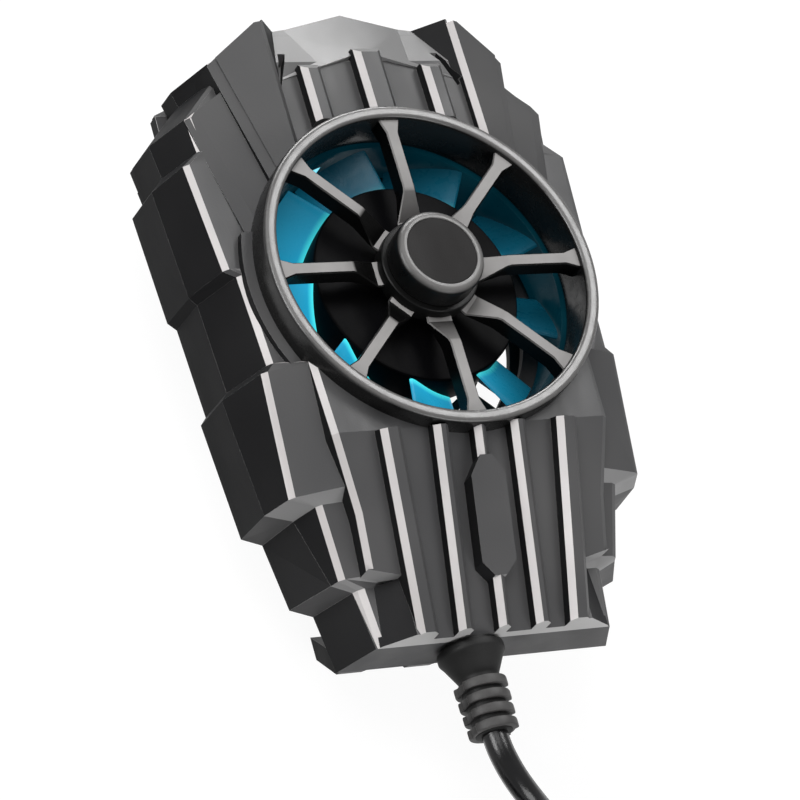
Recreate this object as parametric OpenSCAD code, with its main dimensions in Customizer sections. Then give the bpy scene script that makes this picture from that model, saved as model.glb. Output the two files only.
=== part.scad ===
// Phone cooling fan: a stepped clip-on housing with a round fan behind an eight-spoke guard.
// It grips a phone between two fixed claws and a sprung upper jaw, and lies here on its claw tips.
// Millimetres. Z up is the way the fan faces, Y runs up the housing, and the claw tips stand on z = 0.

/* [Housing] */
// Length of the housing, from its flat bottom end to the ridge at its top end
body_len = 82.9; // [80:0.1:90]
// Widest width of the housing, across its cheeks
body_w = 57.6; // [56.5:0.1:62]
// Depth of the housing, from its back to the rim of the guard
body_depth = 18.2; // [17.8:0.1:20]
// Depth of the rear cover, from the back to the parting line
rear_depth = 6.2; // [6:0.1:6.8]
// Wall thickness of both shells
wall = 1.8; // [1.4:0.1:2.2]
// Distance of the fan's axis above the middle of the housing
fan_y = 3.15; // [2:0.05:4]
// Width of the beam on each side of the top
beam_w = 7.8; // [6:0.1:8.5]
// Drop of the field between the ribs below the rim
field_drop = 2.6; // [2.2:0.1:3.4]
// Slope of the lower field, degrees
field_slope = 18.6; // [16:0.1:20]

/* [Ribs] */
// Height of the ribs above the field
rib_h = 2.1; // [1.4:0.1:2.5]
// Bevel along the ribs
rib_bevel = 0.7; // [0.3:0.05:0.75]
// Width of the lower centre rib
rib_mid_w = 1.6; // [1.6:0.1:2.4]
// Width of the lower side ribs
rib_side_w = 2.0; // [1.6:0.1:2.6]
// Width of the lower outer ribs
rib_out_w = 2.7; // [1.8:0.1:3]

/* [Guard] */
// Width of the armour beside the guard's rim
cheek_w = 6.8; // [6.4:0.1:7.2]
// Thickness of the rim
rim_t = 1.7; // [1.2:0.1:2]
// Number of spokes
spokes = 8; // [6:1:9]
// Width of a spoke
spoke_w = 1.6; // [1.2:0.1:2.2]
// Depth of a spoke
spoke_h = 2.4; // [1.6:0.1:2.6]
// Drop of the spokes below the rim
spoke_drop = 0.8; // [0.4:0.1:1.2]
// Radius at which a spoke bends down to the hub
knee_r = 10.5; // [9.5:0.1:12]
// Radius of the hub cap
cap_r = 5.75; // [5:0.05:6.2]
// Height of the hub cap above the rim
cap_rise = 2.2; // [1.4:0.1:3]

/* [Fan] */
// Number of blades
blades = 9; // [5:1:11]
// Length of the blades
blade_len = 5.7; // [5.4:0.1:6.6]
// Thickness of a blade
blade_t = 0.9; // [0.7:0.05:1.2]
// Pitch of the blades, degrees
blade_pitch = 33; // [28:1:36]
// Width of a blade at its tip
blade_w = 12.4; // [10:0.1:12.6]
// Drop of the rotor's hub below the rim
rotor_drop = 5.6; // [5.2:0.1:6]
// Running gap around the blade tips
tip_gap = 0.6; // [0.4:0.05:0.8]
// Wall of the fan's duct
duct_t = 1.1; // [0.8:0.1:1.4]
// Radius of the motor shaft
shaft_r = 1.0; // [0.8:0.05:1.2]
// Radial clearance of the shaft in its sleeve
shaft_fit = 0.03; // [0.02:0.01:0.08]

/* [Jaw] */
// Travel of the sliding jaw
jaw_travel = 20; // [12:1:24]
// Length of the jaw's arms that stays in its channels when it is fully out
arm_hold = 15.5; // [12:0.5:18]
// Thickness of the slider
slider_t = 1.7; // [1.4:0.1:2]
// Clearance above and below the slider
slider_gap = 0.25; // [0.2:0.05:0.4]
// Height of the claws, from the back of the housing to their tips
claw_h = 11.8; // [10.5:0.1:14]
// Width of a claw
claw_w = 4.5; // [3.5:0.1:5]
// Depth of a claw's stem
claw_t = 3.0; // [2.6:0.1:3.6]
// Reach of a claw's hooked lip over the phone
claw_lip = 3.9; // [3:0.1:4.5]
// Distance from the middle of the housing to the upper claws' grip, closed
upper_grip_y = 28.65; // [27.5:0.05:30]
// Thickness of the soft grips
grip_t = 0.8; // [0.5:0.1:1.2]

/* [Back] */
// Thickness of the back plate
plate_t = 1.0; // [0.8:0.1:1.4]
// Thickness of the cover's floor
floor_t = 1.0; // [0.8:0.1:1.4]
// Room for the inner lead between floor and fan
lead_room = 0.8; // [0.8:0.05:1.2]
// Length of the phone pads
pad_len = 40; // [30:1:44]
// Width of the phone pads
pad_w = 4.6; // [3:0.1:5]
// Thickness of the phone pads
pad_t = 1.0; // [0.6:0.1:1.4]

/* [Lead] */
// Diameter of the lead
cord_d = 3.15; // [3:0.05:3.3]
// Length of the strain relief outside the housing
relief_len = 11.3; // [9:0.1:12]
// Sideways place of the lead's exit
exit_x = -2.7; // [-4:0.1:-2]
// Turns of the put-away coil in each of its two layers
layer_turns = 3.875; // [2.875:0.25:3.875]

/* [Hidden] */
$fn = 72;

// Heights, from the claw tips up
back_z = claw_h;
plate_top = back_z + plate_t;
slider_z = plate_top + slider_gap;
floor_z = slider_z + slider_t + slider_gap;
floor_top = floor_z + floor_t;
duct_z = floor_top + lead_room;
part_z = back_z + rear_depth;
rim_z = back_z + body_depth;
base_t = 1.0;
base_top = duct_z + base_t;
guard_depth = 6.5;
duct_top = rim_z - guard_depth;
hub_top = rim_z - rotor_drop;
rotor_z = base_top + 0.6;
end_y = -body_len / 2;
top_y = body_len / 2;
half_w = body_w / 2;
over = 30;

// Radii, from the side of the housing inwards
rim_r = half_w - cheek_w;
duct_step = 0.5;
duct_r = rim_r - rim_t - duct_step;
blade_r = duct_r - tip_gap;
hub_r = blade_r - blade_len;
outlet_r = duct_r - 2.2;

// Steps of the side, from the bottom end up: place from the fan's axis along Y,
// inset of the back edge and of the parting edge from the widest place,
// depth of the front edge below the rim, its inset, and depth of the face beside the raised middle
foot_y = -37.3;
shin_y = -36.2;
hip_y = -26.6;
waist_y = -10.3;
cheek_low_y = 1.7;
cheek_y = 17.5;
shield_y = 24;
beam_y = 31.7;
steps = [
    [end_y - fan_y, 10.4, 13.0, 11.4, 13.2, 11.4],
    [foot_y, 9.4, 12.0, 10.9, 12.4, 10.9],
    [shin_y, 6.6, 9.5, 10.3, 9.95, 9.85],
    [hip_y - 1, 5.4, 7.0, 7.9, 8.4, 7.35],
    [hip_y, 2.9, 3.5, 7.5, 5.05, 5.25],
    [waist_y - 1, 1.7, 2.1, 5.0, 4.65, 3.05],
    [waist_y, 2.6, 3.0, 4.9, 5.6, 4.5],
    [cheek_low_y, 1.9, 2.3, 4.9, 4.9, 4.5],
    [cheek_low_y + 1, 0.9, 1.45, 5.2, 3.5, 5.1],
    [cheek_y, 0, 0.35, 5.6, 2.3, 5.5],
    [cheek_y + 1.9, 1.8, 2.2, 5.5, 4.6, 5.5],
    [shield_y, 1.2, 1.6, 5.4, 4.1, 5.4],
    [28.3, 5.2, 5.6, 5.2, 8.2, 5.2],
    [29.6, 6.6, 7.0, 5.0, 9.6, 5.0],
    [beam_y, 6.1, 6.5, 5.0, 9.0, 5.0],
    [35.4, 14.3, 14.6, 5.0, 17.2, 5.0]
];

// Raised middle of the front: half its width along Y at the foot of its bevelled edge
roof_low_y = fan_y + 31;
roof_side_y = fan_y + 27;
top_corner_y = top_y - 2.8;
beam_in = 12.8;
field_edge = [[end_y - fan_y, 11.8], [foot_y, 11.8], [foot_y + 1, 16.3], [-30, 16.8], [-21, 18.6], [-9, 19],
    [7, 19], [14, beam_in + 3.7], [top_corner_y - fan_y, beam_in + 0.8]];
edge_h = 0.55;
edge_w = 0.7;

// Solid through a row of cross-sections, in step along Y
module loft(sections) {
    n = len(sections[0]);
    last = len(sections) - 1;
    sides = [for (i = [0:last - 1], j = [0:n - 1]) let (a = i * n + j, b = i * n + (j + 1) % n)
        each [[a, b, b + n], [a, b + n, a + n]]];
    polyhedron(points = [for (s = sections) each s],
        faces = concat([[for (j = [n - 1:-1:0]) j]], sides, [[for (j = [0:n - 1]) last * n + j]]));
}

// Outer form of the front shell's sides, or its cavity when inset by the wall.
// Each side leans in to a bevelled front edge, and the face rises from there to the raised middle.
function side_x(s, low) = half_w - s[2] + (s[4] - s[2]) * (part_z - low) / (rim_z - s[3] - edge_h - part_z);
module front_sides(inset) {
    low = part_z - (inset > 0 ? 3 : 0);
    loft([for (s = steps) let (y = fan_y + s[0], wide = side_x(s, low) - inset, edge = half_w - s[4] - inset,
        z = rim_z - s[3] - inset, mid = min(lookup(s[0], field_edge) - 0.6 - inset, edge - 2),
        mid_z = rim_z - s[5] - inset)
        [[-wide, y, low], [wide, y, low], [edge, y, z - edge_h], [edge - edge_w, y, z], [mid, y, mid_z],
            [-mid, y, mid_z], [edge_w - edge, y, z], [-edge, y, z - edge_h]]]);
}

// Outer form of the rear cover's sides
module rear_sides(inset, low, high) {
    loft([for (s = steps) let (y = fan_y + s[0], back = half_w - s[1] - inset, front = half_w - s[2] - inset)
        [[-back, y, low], [back, y, low], [front, y, high], [-front, y, high]]]);
}

// Plan of the body at its back edge, as one outline
function back_outline(inset) = concat([for (s = steps) [half_w - s[1] - inset, fan_y + s[0]]],
    [for (i = [len(steps) - 1:-1:0]) [inset - half_w + steps[i][1], fan_y + steps[i][0]]]);

// Plan of the raised middle, and the level of its face
field_break_y = fan_y - rim_r + 1;
function field_z(y) = rim_z - field_drop - max(0, field_break_y - y) * tan(field_slope);

module field_plan(inset) {
    half = [for (e = field_edge) [e[1] - inset, fan_y + e[0]]];
    intersection() {
        polygon(concat(half, [[0, top_y - inset * 1.3]],
            [for (i = [len(half) - 1:-1:0]) [-half[i][0], half[i][1]]]));
        translate([-half_w, end_y + inset])
            square([body_w, body_len]);
    }
}

// Wedge that bevels a front edge: rows of place along Y, place of the wall, and level of the face
module edge_cut(rows, w, h) {
    loft([for (r = rows) let (y = fan_y + r[0], x = r[1], z = r[2]) [[x + 0.02 * w, y, z - h * 1.02],
        [x + 2, y, z - h * 1.02], [x + 2, y, z + h], [x - 2 * w, y, z + h]]]);
}

// Side line of the field's face, pushed in by the wall for the cavity
module field_side(inset, low) {
    rotate([90, 0, 90])
        translate([0, 0, -half_w])
        linear_extrude(body_w)
        polygon([[end_y, low], [top_y, low], [top_y, rim_z - 6.3 - inset],
            [roof_low_y - (inset > 0 ? 5 : 1), rim_z - field_drop - inset],
            [field_break_y, rim_z - field_drop - inset],
            [end_y, field_z(end_y) - inset]]);
}

module field(inset, low) {
    difference() {
        intersection() {
            linear_extrude(rim_z + over)
                field_plan(inset);
            field_side(inset, low);
        }
        for (m = [0, 1])
            mirror([m, 0, 0])
                edge_cut([for (e = field_edge) if (e[0] > foot_y && e[0] < 0)
                    [e[0], e[1] - inset, field_z(fan_y + e[0]) - inset]], edge_w, edge_h);
    }
}

// A rib lying on the field: flat top with bevelled edges, along Y from 0 to len
module rib(w, len) {
    rotate([-90, 0, 0])
        mirror([0, 1, 0])
        linear_extrude(len)
        polygon([[-w / 2, -1.2], [w / 2, -1.2], [w / 2, rib_h - rib_bevel],
            [w / 2 - rib_bevel, rib_h], [rib_bevel - w / 2, rib_h], [-w / 2, rib_h - rib_bevel]]);
}

// Ribs on the lower field run down its slope, those above the fan lie flat
rib_side_x = 5.2;
rib_out_x = 11.9;
lower_len = (field_break_y - end_y) / cos(field_slope);

module lower_rib(x, angle, w, len) {
    translate([x, field_break_y, rim_z - field_drop])
        rotate([-field_slope, 0, 180])
        mirror([1, 0, 0])
        rotate([0, 0, -angle])
        rib(w, len);
}

module lower_ribs() {
    intersection() {
        union() {
            lower_rib(0, 0, rib_mid_w, lower_len + 2);
            for (s = [-1, 1]) {
                lower_rib(s * rib_side_x, 0, rib_side_w, lower_len + 2);
                lower_rib(s * rib_out_x, s * -3.9, rib_out_w, lower_len + 2);
            }
            bulge();
        }
        translate([-half_w, end_y, part_z])
            cube([body_w, body_len, over]);
    }
}

// Long six-sided swelling on the centre rib
bulge_y = -27;
bulge_len = 11;
module bulge() {
    w = rib_mid_w / 2;
    intersection() {
        translate([0, fan_y, 0])
            linear_extrude(rim_z)
            polygon([[-w, bulge_y + 1.6], [w, bulge_y + 1.6], [w + 1.5, bulge_y - 0.6],
                [w + 1.5, bulge_y + 0.6 - bulge_len], [w, bulge_y - bulge_len - 1],
                [-w, bulge_y - bulge_len - 1], [-w - 1.5, bulge_y + 0.6 - bulge_len],
                [-w - 1.5, bulge_y - 0.6]]);
        lower_rib(0, 0, rib_mid_w + 3 + 2 * rib_bevel, lower_len);
    }
}

// Upper ribs, with their ends bevelled where they meet the roof
upper_mid_w = 3.7;
upper_side_w = 2.65;
upper_side_x = 8.45;
rib_end = 1.1;
module upper_rib(x, w, end) {
    len = end - rim_r + 1.5;
    translate([x, fan_y + rim_r - 1.5, rim_z - field_drop])
        difference() {
            rib(w, len);
            translate([-w, len - rib_end, rib_h])
                rotate([-45, 0, 0])
                cube([2 * w, 3 * rib_end, 3 * rib_end]);
        }
}
module upper_ribs() {
    upper_rib(0, upper_mid_w, 31.2);
    for (s = [-1, 1])
        upper_rib(s * upper_side_x, upper_side_w, 28.9);
}

// Gabled roof above the ribs: its ridge falls towards the top end
ridge_fall = 22;
gable_fall = 9;
module roof() {
    intersection() {
        on_roof()
            rotate([-90, 0, 0])
            translate([0, 0, -8])
            linear_extrude(over)
            polygon([[0, 0], [half_w, half_w * tan(gable_fall)], [half_w, 14], [-half_w, 14],
                [-half_w, half_w * tan(gable_fall)]]);
        roof_plan();
    }
}
module on_roof() {
    translate([0, roof_low_y - 1, rim_z - 1.5])
        rotate([-ridge_fall, 0, 0])
        children();
}
module roof_plan() {
    translate([0, 0, part_z])
        linear_extrude(over)
        polygon([[0, roof_low_y], [beam_in + 0.5, roof_side_y], [beam_in + 0.5, top_corner_y],
            [0, top_y], [-beam_in - 0.5, top_corner_y], [-beam_in - 0.5, roof_side_y]]);
}

// Beam on each side of the top: its face falls outwards between two bevelled edges,
// and beside the roof its inner side slopes down
beam_fall = 21.5;
beam_top_z = rim_z - 0.75;
beam_out_x = beam_in + beam_w;
beam_end_y = 30.6;
beam_low_y = 13;
beam_low_x = beam_out_x - 3.5;
inner_strip = 1.1;
inner_drop = 0.9;
function beam_z(x) = beam_top_z - (x - beam_in) * tan(beam_fall);
module beam() {
    difference() {
        intersection() {
            translate([0, 0, part_z])
                linear_extrude(over)
                polygon([[beam_in, fan_y + 35], [beam_in + 1.4, fan_y + 35], [beam_out_x, fan_y + beam_end_y],
                    [beam_low_x, fan_y + beam_low_y], [beam_in, fan_y + 16]]);
            translate([beam_in, 0, beam_top_z])
                rotate([0, beam_fall, 0])
                translate([-over, 0, -over])
                cube([2 * over, top_y + 5, over]);
        }
        edge_cut([[beam_low_y - 1, beam_low_x - 0.2, beam_z(beam_low_x - 0.2)],
            [beam_end_y + 1, beam_out_x + 0.2, beam_z(beam_out_x + 0.2)]], 0.85, 0.45);
        translate([2 * beam_in, 0, 0])
            mirror([1, 0, 0])
            edge_cut([[beam_low_y, beam_in, beam_top_z], [beam_end_y + 6, beam_in, beam_top_z]],
                inner_strip, inner_drop);
    }
    intersection() {
        translate([0, fan_y + 50, 0])
            rotate([90, 0, 0])
            linear_extrude(50)
            polygon([[beam_in + 0.2, part_z], [beam_in + 0.2, beam_top_z - inner_drop],
                [beam_in, beam_top_z - inner_drop], [beam_in - 4, beam_top_z - inner_drop - 4.9],
                [beam_in - 4, part_z]]);
        roof_plan();
    }
}

// Shield plate beside each beam, falling outwards to a bevelled edge
shield_z = rim_z - 4.1;
shield_x = 19.4;
shield_fall = 14;
shield_out_x = half_w - 4;
shield_low_y = 6.8;
shield_low_x = shield_out_x - 3.6;
function shield_face(x) = shield_z - (x - shield_x) * tan(shield_fall);
module shield() {
    difference() {
        intersection() {
            translate([0, 0, part_z])
                linear_extrude(over)
                polygon([[17, fan_y + 27.8], [shield_x, fan_y + 27], [shield_out_x, fan_y + shield_y - 0.2],
                    [shield_low_x, fan_y + shield_low_y], [17, fan_y + shield_low_y]]);
            translate([shield_x, 0, shield_z])
                rotate([0, shield_fall, 0])
                translate([-over, 0, -over])
                cube([2 * over, top_y, over]);
        }
        edge_cut([[shield_low_y - 1, shield_low_x - 0.2, shield_face(shield_low_x)],
            [shield_y + 1, shield_out_x + 0.2, shield_face(shield_out_x)]], 0.85, 0.45);
    }
}

// Corner wedge at the foot of each side
module foot_wedge() {
    translate([0, fan_y + foot_y, 0])
        rotate([90, 0, 0])
        linear_extrude(foot_y + fan_y - end_y)
        polygon([[10, part_z], [15.4, part_z], [15.4, rim_z - 11.6], [11.8, rim_z - 8.8],
            [10, rim_z - 8.8]]);
}

// Collar around the lower part of the guard's rim
collar_w = 1.4;
collar_drop = 4.0;
collar_end_y = 7;
guard_seat_z = duct_top;
module at_fan() {
    translate([0, fan_y, 0])
        children();
}

// Places of the screws, from the fan's axis
ear_r = duct_r + duct_t + 2.3;
ear_spots = [for (a = [60, 120, 240, 300]) [ear_r * cos(a), ear_r * sin(a)]];
case_r = ear_r * 0.715;
case_low_x = 12;
case_low_y = end_y + 13.6 - fan_y;
case_spots = [[case_r, case_r], [-case_r, case_r], [case_low_x, case_low_y], [-case_low_x, case_low_y]];
plate_x = outlet_r - 1.6;
plate_spots = [[plate_x, -19.2], [-plate_x, -19.2], [0, outlet_r + 2.1]];
screw_r = 0.8;
screw_depth = 3.4;
tip_room = 0.3;
boss_r = 1.7;
ear_z = duct_top - 2.2;
ear_t = 1.4;
ear_screw_depth = 2.0;
seat_gap = 0.05;

module front_shell() {
    color([0.2, 0.2, 0.21])
    difference() {
        union() {
            front_sides(0);
            field(0, part_z);
            lower_ribs();
            upper_ribs();
            roof();
            for (m = [0, 1])
                mirror([m, 0, 0]) {
                    beam();
                    shield();
                    foot_wedge();
                }
            intersection() {
                at_fan()
                    cylinder(h = rim_z - collar_drop, r = rim_r + collar_w);
                translate([-half_w, end_y, 0])
                    cube([body_w, fan_y + collar_end_y - end_y, rim_z]);
            }
        }
        translate([-half_w, end_y - 1, -1])
            cube([body_w, body_len + 2, part_z + 1]);
        difference() {
            union() {
                intersection() {
                    front_sides(wall);
                    translate([-half_w, end_y + wall, 0])
                        cube([body_w, body_len - 2 * wall, rim_z]);
                }
                field(wall, part_z - 1);
            }
            at_fan() {
                difference() {
                    cylinder(h = rim_z, r = rim_r + wall);
                    cylinder(h = duct_top, r = rim_r + wall + 1);
                }
                for (p = ear_spots)
                    translate([p[0], p[1], ear_z])
                        cylinder(h = over, r = boss_r);
                for (p = case_spots)
                    translate([p[0], p[1], 0])
                        cylinder(h = rim_z, r = boss_r);
            }
        }
        at_fan() {
            translate([0, 0, part_z - 1]) {
                cylinder(h = over, r = rim_r - rim_t);
                cylinder(h = duct_top - part_z + 1, r = duct_r + duct_t + seat_gap);
            }
            translate([0, 0, duct_top])
                cylinder(h = over, r = rim_r);
            for (p = ear_spots)
                translate([p[0], p[1], ear_z - 1])
                    cylinder(h = 1 + ear_screw_depth + tip_room, r = screw_r);
            for (p = case_spots)
                translate([p[0], p[1], part_z - 1])
                    cylinder(h = 1 + screw_depth + tip_room, r = screw_r);
        }
        relief_bore();
        for (m = [0, 1])
            mirror([m, 0, 0])
                roof_slot();
    }
}

// Slot where the roof meets the slope of each beam
slot_floor = 3.1;
module roof_slot() {
    on_roof()
        translate([0, 0, -slot_floor])
        linear_extrude(over)
        polygon([[beam_in - 2.7, 2.2], [beam_in - 1.7, 2.2], [beam_in - 0.05, -2.7], [beam_in - 0.5, -3.0]]);
}

// Round way for the strain relief through the bottom wall of both shells
relief_z = rim_z - 13.9;
neck_r = 2.6;
flange_r = 3.5;
neck_len = 2.2;
module relief_bore() {
    translate([exit_x, end_y - 1, relief_z])
        rotate([-90, 0, 0]) {
            cylinder(h = 8.5, r = neck_r);
            translate([0, 0, 1 + neck_len])
                cylinder(h = 2.2, r = flange_r + 0.1);
        }
}

// Side profile of a spoke: flat to the knee, then down to the hub
skirt_r = 7.0;
skirt_drop = 3.4;
module spoke() {
    flare = 1.0;
    tip = rim_r - rim_t + 0.3;
    intersection() {
        linear_extrude(rim_z)
            polygon([[0, -spoke_w * 1.1], [skirt_r, -spoke_w * 1.1], [knee_r, -spoke_w / 2],
                [tip - 2, -spoke_w / 2], [tip, -spoke_w / 2 - flare], [tip, spoke_w / 2],
                [knee_r, spoke_w / 2], [skirt_r, spoke_w * 1.1], [0, spoke_w * 1.1]]);
        rotate([90, 0, 0])
            translate([0, 0, -5])
            linear_extrude(10)
            polygon([[cap_r - 1, rim_z - spoke_drop - spoke_h], [tip, rim_z - spoke_drop - spoke_h],
                [tip, rim_z - spoke_drop], [knee_r, rim_z - spoke_drop],
                [skirt_r - 1, rim_z - skirt_drop + 0.5], [cap_r - 1, rim_z - skirt_drop + 1]]);
    }
}

module fan_guard() {
    edge = 0.4;
    color([0.35, 0.34, 0.34])
    at_fan() {
        rotate_extrude()
            polygon([[rim_r - rim_t, guard_seat_z], [rim_r, guard_seat_z], [rim_r, rim_z - edge],
                [rim_r - edge, rim_z], [rim_r - rim_t + edge, rim_z], [rim_r - rim_t, rim_z - edge]]);
        for (k = [0:spokes - 1])
            rotate([0, 0, 90 + k * 360 / spokes])
                spoke();
        translate([0, 0, rim_z - skirt_drop - 0.6])
            cylinder(h = skirt_drop - 0.6, r = skirt_r - 0.6);
    }
}

disc_r = cap_r * 0.79;
disc_t = 0.4;
cap_seat_z = rim_z - 1.2;
module hub_cap() {
    top = rim_z + cap_rise;
    round_r = 0.9;
    color([0.4, 0.39, 0.39])
    at_fan()
        difference() {
            rotate_extrude() {
                polygon([[0, cap_seat_z], [cap_r, cap_seat_z], [cap_r, top - round_r],
                    [cap_r - round_r, top], [0, top]]);
                translate([cap_r - round_r, top - round_r])
                    circle(round_r);
            }
            translate([0, 0, top - disc_t])
                cylinder(h = 1, r = disc_r);
        }
}

module hub_disc() {
    color([0.16, 0.16, 0.17])
    at_fan()
        translate([0, 0, rim_z + cap_rise - disc_t])
        cylinder(h = disc_t - 0.1, r = disc_r);
}

// Fan: duct with struts and motor seat
sleeve_r = 2.6;
lamp_w = 2.6;
lamp_h = 1.6;
lamp_z = duct_top - 4.2;
clip_r = 1.9;
lead_spread = 0.4;
lead_end_y = -8.0;
module fan_frame() {
    color([0.1, 0.14, 0.15])
    at_fan()
        difference() {
            union() {
                translate([0, 0, duct_z])
                    cylinder(h = duct_top - duct_z, r = duct_r + duct_t);
                for (p = ear_spots)
                    translate([p[0], p[1], ear_z - ear_t])
                        cylinder(h = ear_t, r = 2.2);
                for (p = ear_spots)
                    translate([0, 0, ear_z - 1.4])
                        rotate([0, 0, atan2(p[1], p[0])])
                        translate([duct_r, -2.2, 0])
                        cube([ear_r - duct_r, 4.4, 1.4]);
            }
            difference() {
                translate([0, 0, duct_z - 1])
                    cylinder(h = over, r = duct_r);
                translate([0, 0, duct_z]) {
                    cylinder(h = base_t, r = hub_r - 1.2);
                    cylinder(h = base_t + 1.2, r = sleeve_r + 1.1);
                    for (a = [45:90:315])
                        rotate([0, 0, a])
                        translate([0, -0.9, 0])
                        cube([duct_r + 0.5, 1.8, base_t]);
                }
            }
            translate([0, 0, duct_z + 1.0])
                cylinder(h = over, r = sleeve_r);
            translate([0, 0, duct_z + 0.4])
                cylinder(h = 1, r = clip_r + 0.25);
            for (p = ear_spots)
                translate([p[0], p[1], ear_z - 2])
                    cylinder(h = 3, r = screw_r + 0.15);
            lamp_pockets(0.02);
            translate([exit_x - lead_spread - 0.6, lead_end_y - 0.6, duct_z - 1])
                cube([2 * lead_spread + 1.2, 1.2, base_t + 2]);
        }
}

module lamp_pockets(gap) {
    for (a = [22.5:90:292.5])
        rotate([0, 0, a])
        translate([duct_r - 1 + (gap > 0 ? 0 : 1), -lamp_w / 2 - gap, lamp_z - gap])
        cube([duct_t + (gap > 0 ? 2 : 0), lamp_w + 2 * gap, lamp_h + 2 * gap]);
}

module led_lamps() {
    color([0.3, 0.85, 1])
    at_fan()
        lamp_pockets(0);
}

// Rotor: hub cup with pitched blades, magnet yoke and shaft inside
blade_start = 27;
cup_t = 1.0;
yoke_t = 0.8;
magnet_t = 1.3;
cup_in_r = hub_r - 1.2;
magnet_in_r = cup_in_r - yoke_t - magnet_t;
blade_z = (rotor_z + hub_top - 0.4) / 2;
root_w = blade_w * 0.74;
boss_in_r = 2.4;

// Flat pitched blade that widens from its root to its tip
module blade() {
    intersection() {
        translate([0, 0, blade_z])
            rotate([-blade_pitch, 0, 0])
            translate([0, 0, -blade_t / 2])
            linear_extrude(blade_t)
            polygon([[hub_r - 0.6, -root_w / 2], [blade_r + 1, -blade_w / 2],
                [blade_r + 1, blade_w / 2], [hub_r - 0.6, root_w / 2]]);
        difference() {
            cylinder(h = rim_z, r = blade_r);
            cylinder(h = rim_z, r = hub_r - 0.5);
        }
    }
}

module fan_rotor() {
    color([0.1, 0.62, 0.8])
    at_fan() {
        rotate_extrude()
            polygon([[shaft_r, hub_top - cup_t - 1.2], [boss_in_r, hub_top - cup_t - 1.2],
                [boss_in_r, hub_top - cup_t], [cup_in_r, hub_top - cup_t], [cup_in_r, rotor_z],
                [hub_r, rotor_z], [hub_r, hub_top - 0.8], [hub_r - 0.8, hub_top], [shaft_r, hub_top]]);
        intersection() {
            for (k = [0:blades - 1])
                rotate([0, 0, blade_start + k * 360 / blades])
                    blade();
            translate([0, 0, rotor_z])
                cylinder(h = hub_top - rotor_z - 0.4, r = blade_r);
        }
    }
}

yoke_top = hub_top - cup_t;
module rotor_yoke() {
    color([0.7, 0.7, 0.72])
    at_fan()
        rotate_extrude()
        polygon([[boss_in_r, yoke_top - 0.6], [cup_in_r - yoke_t, yoke_top - 0.6],
            [cup_in_r - yoke_t, rotor_z + 0.2], [cup_in_r, rotor_z + 0.2], [cup_in_r, yoke_top],
            [boss_in_r, yoke_top]]);
}

module rotor_magnet() {
    color([0.25, 0.22, 0.2])
    at_fan()
        translate([0, 0, rotor_z + 0.3])
        difference() {
            cylinder(h = yoke_top - 0.6 - rotor_z - 0.3, r = cup_in_r - yoke_t);
            translate([0, 0, -1])
                cylinder(h = 20, r = magnet_in_r);
        }
}

clip_z = duct_z + 0.55;
module rotor_shaft() {
    color([0.85, 0.85, 0.87])
    at_fan()
        difference() {
            translate([0, 0, clip_z - 0.1])
                cylinder(h = hub_top - clip_z + 0.1, r = shaft_r);
            translate([0, 0, clip_z])
                difference() {
                    cylinder(h = 0.3, r = shaft_r + 1);
                    cylinder(h = 0.3, r = shaft_r - 0.25);
                }
        }
}

module shaft_clip() {
    color([0.9, 0.9, 0.9])
    at_fan()
        translate([0, 0, clip_z])
        difference() {
            cylinder(h = 0.3, r = clip_r - 0.1);
            translate([0, 0, -1])
                cylinder(h = 3, r = shaft_r - 0.25);
            translate([0, -0.4, -1])
                cube([4, 0.8, 3]);
        }
}

sleeve_top = hub_top - cup_t - 1.6;
module bearing_sleeve() {
    color([0.8, 0.62, 0.3])
    at_fan()
        translate([0, 0, duct_z + base_t])
        difference() {
            cylinder(h = sleeve_top - duct_z - base_t, r = sleeve_r);
            translate([0, 0, -1])
                cylinder(h = 20, r = shaft_r + shaft_fit);
        }
}

// Stator: four-pole core with its windings, on the round board
stator_z = base_top + 1.3;
stator_h = 1.6;
stator_r = magnet_in_r - 0.45;
core_r = stator_r * 0.465;
coil_start = core_r + 0.3;
module stator_core() {
    color([0.55, 0.55, 0.57])
    at_fan()
        translate([0, 0, stator_z])
        difference() {
            union() {
                cylinder(h = stator_h, r = core_r);
                intersection() {
                    for (a = [0:90:270])
                        rotate([0, 0, a]) {
                            translate([0, -1.1, 0])
                                cube([stator_r, 2.2, stator_h]);
                            translate([stator_r - 1.3, -4.4, 0])
                                cube([2, 8.8, stator_h]);
                        }
                    cylinder(h = stator_h, r = stator_r);
                }
            }
            translate([0, 0, -1])
                cylinder(h = 20, r = sleeve_r);
        }
}

module stator_coils() {
    color([0.75, 0.4, 0.2])
    at_fan()
        for (a = [0:90:270])
            rotate([0, 0, a])
            translate([coil_start, 0, stator_z - 0.4])
            difference() {
                translate([0, -1.9, 0])
                    cube([stator_r - 1.6 - coil_start, 3.8, stator_h + 0.8]);
                translate([-1, -1.12, 0.38])
                    cube([10, 2.24, stator_h + 0.04]);
            }
}

board_t = 0.7;
module motor_board() {
    color([0.1, 0.35, 0.2])
    at_fan()
        translate([0, 0, base_top])
        difference() {
            cylinder(h = board_t, r = hub_r - 3.2);
            translate([0, 0, -1])
                cylinder(h = 5, r = sleeve_r + 1.15);
        }
}

// A pan-head screw, its head's underside at z = 0 and its shank upwards
module screw(len, head_r, head_h) {
    translate([0, 0, -head_h])
        difference() {
            cylinder(h = head_h, r = head_r);
            translate([-head_r * 0.6, -0.18, -1])
                cube([head_r * 1.2, 0.36, 1 + head_h * 0.5]);
            translate([-0.18, -head_r * 0.6, -1])
                cube([0.36, head_r * 1.2, 1 + head_h * 0.5]);
        }
    cylinder(h = len, r = screw_r);
}

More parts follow.
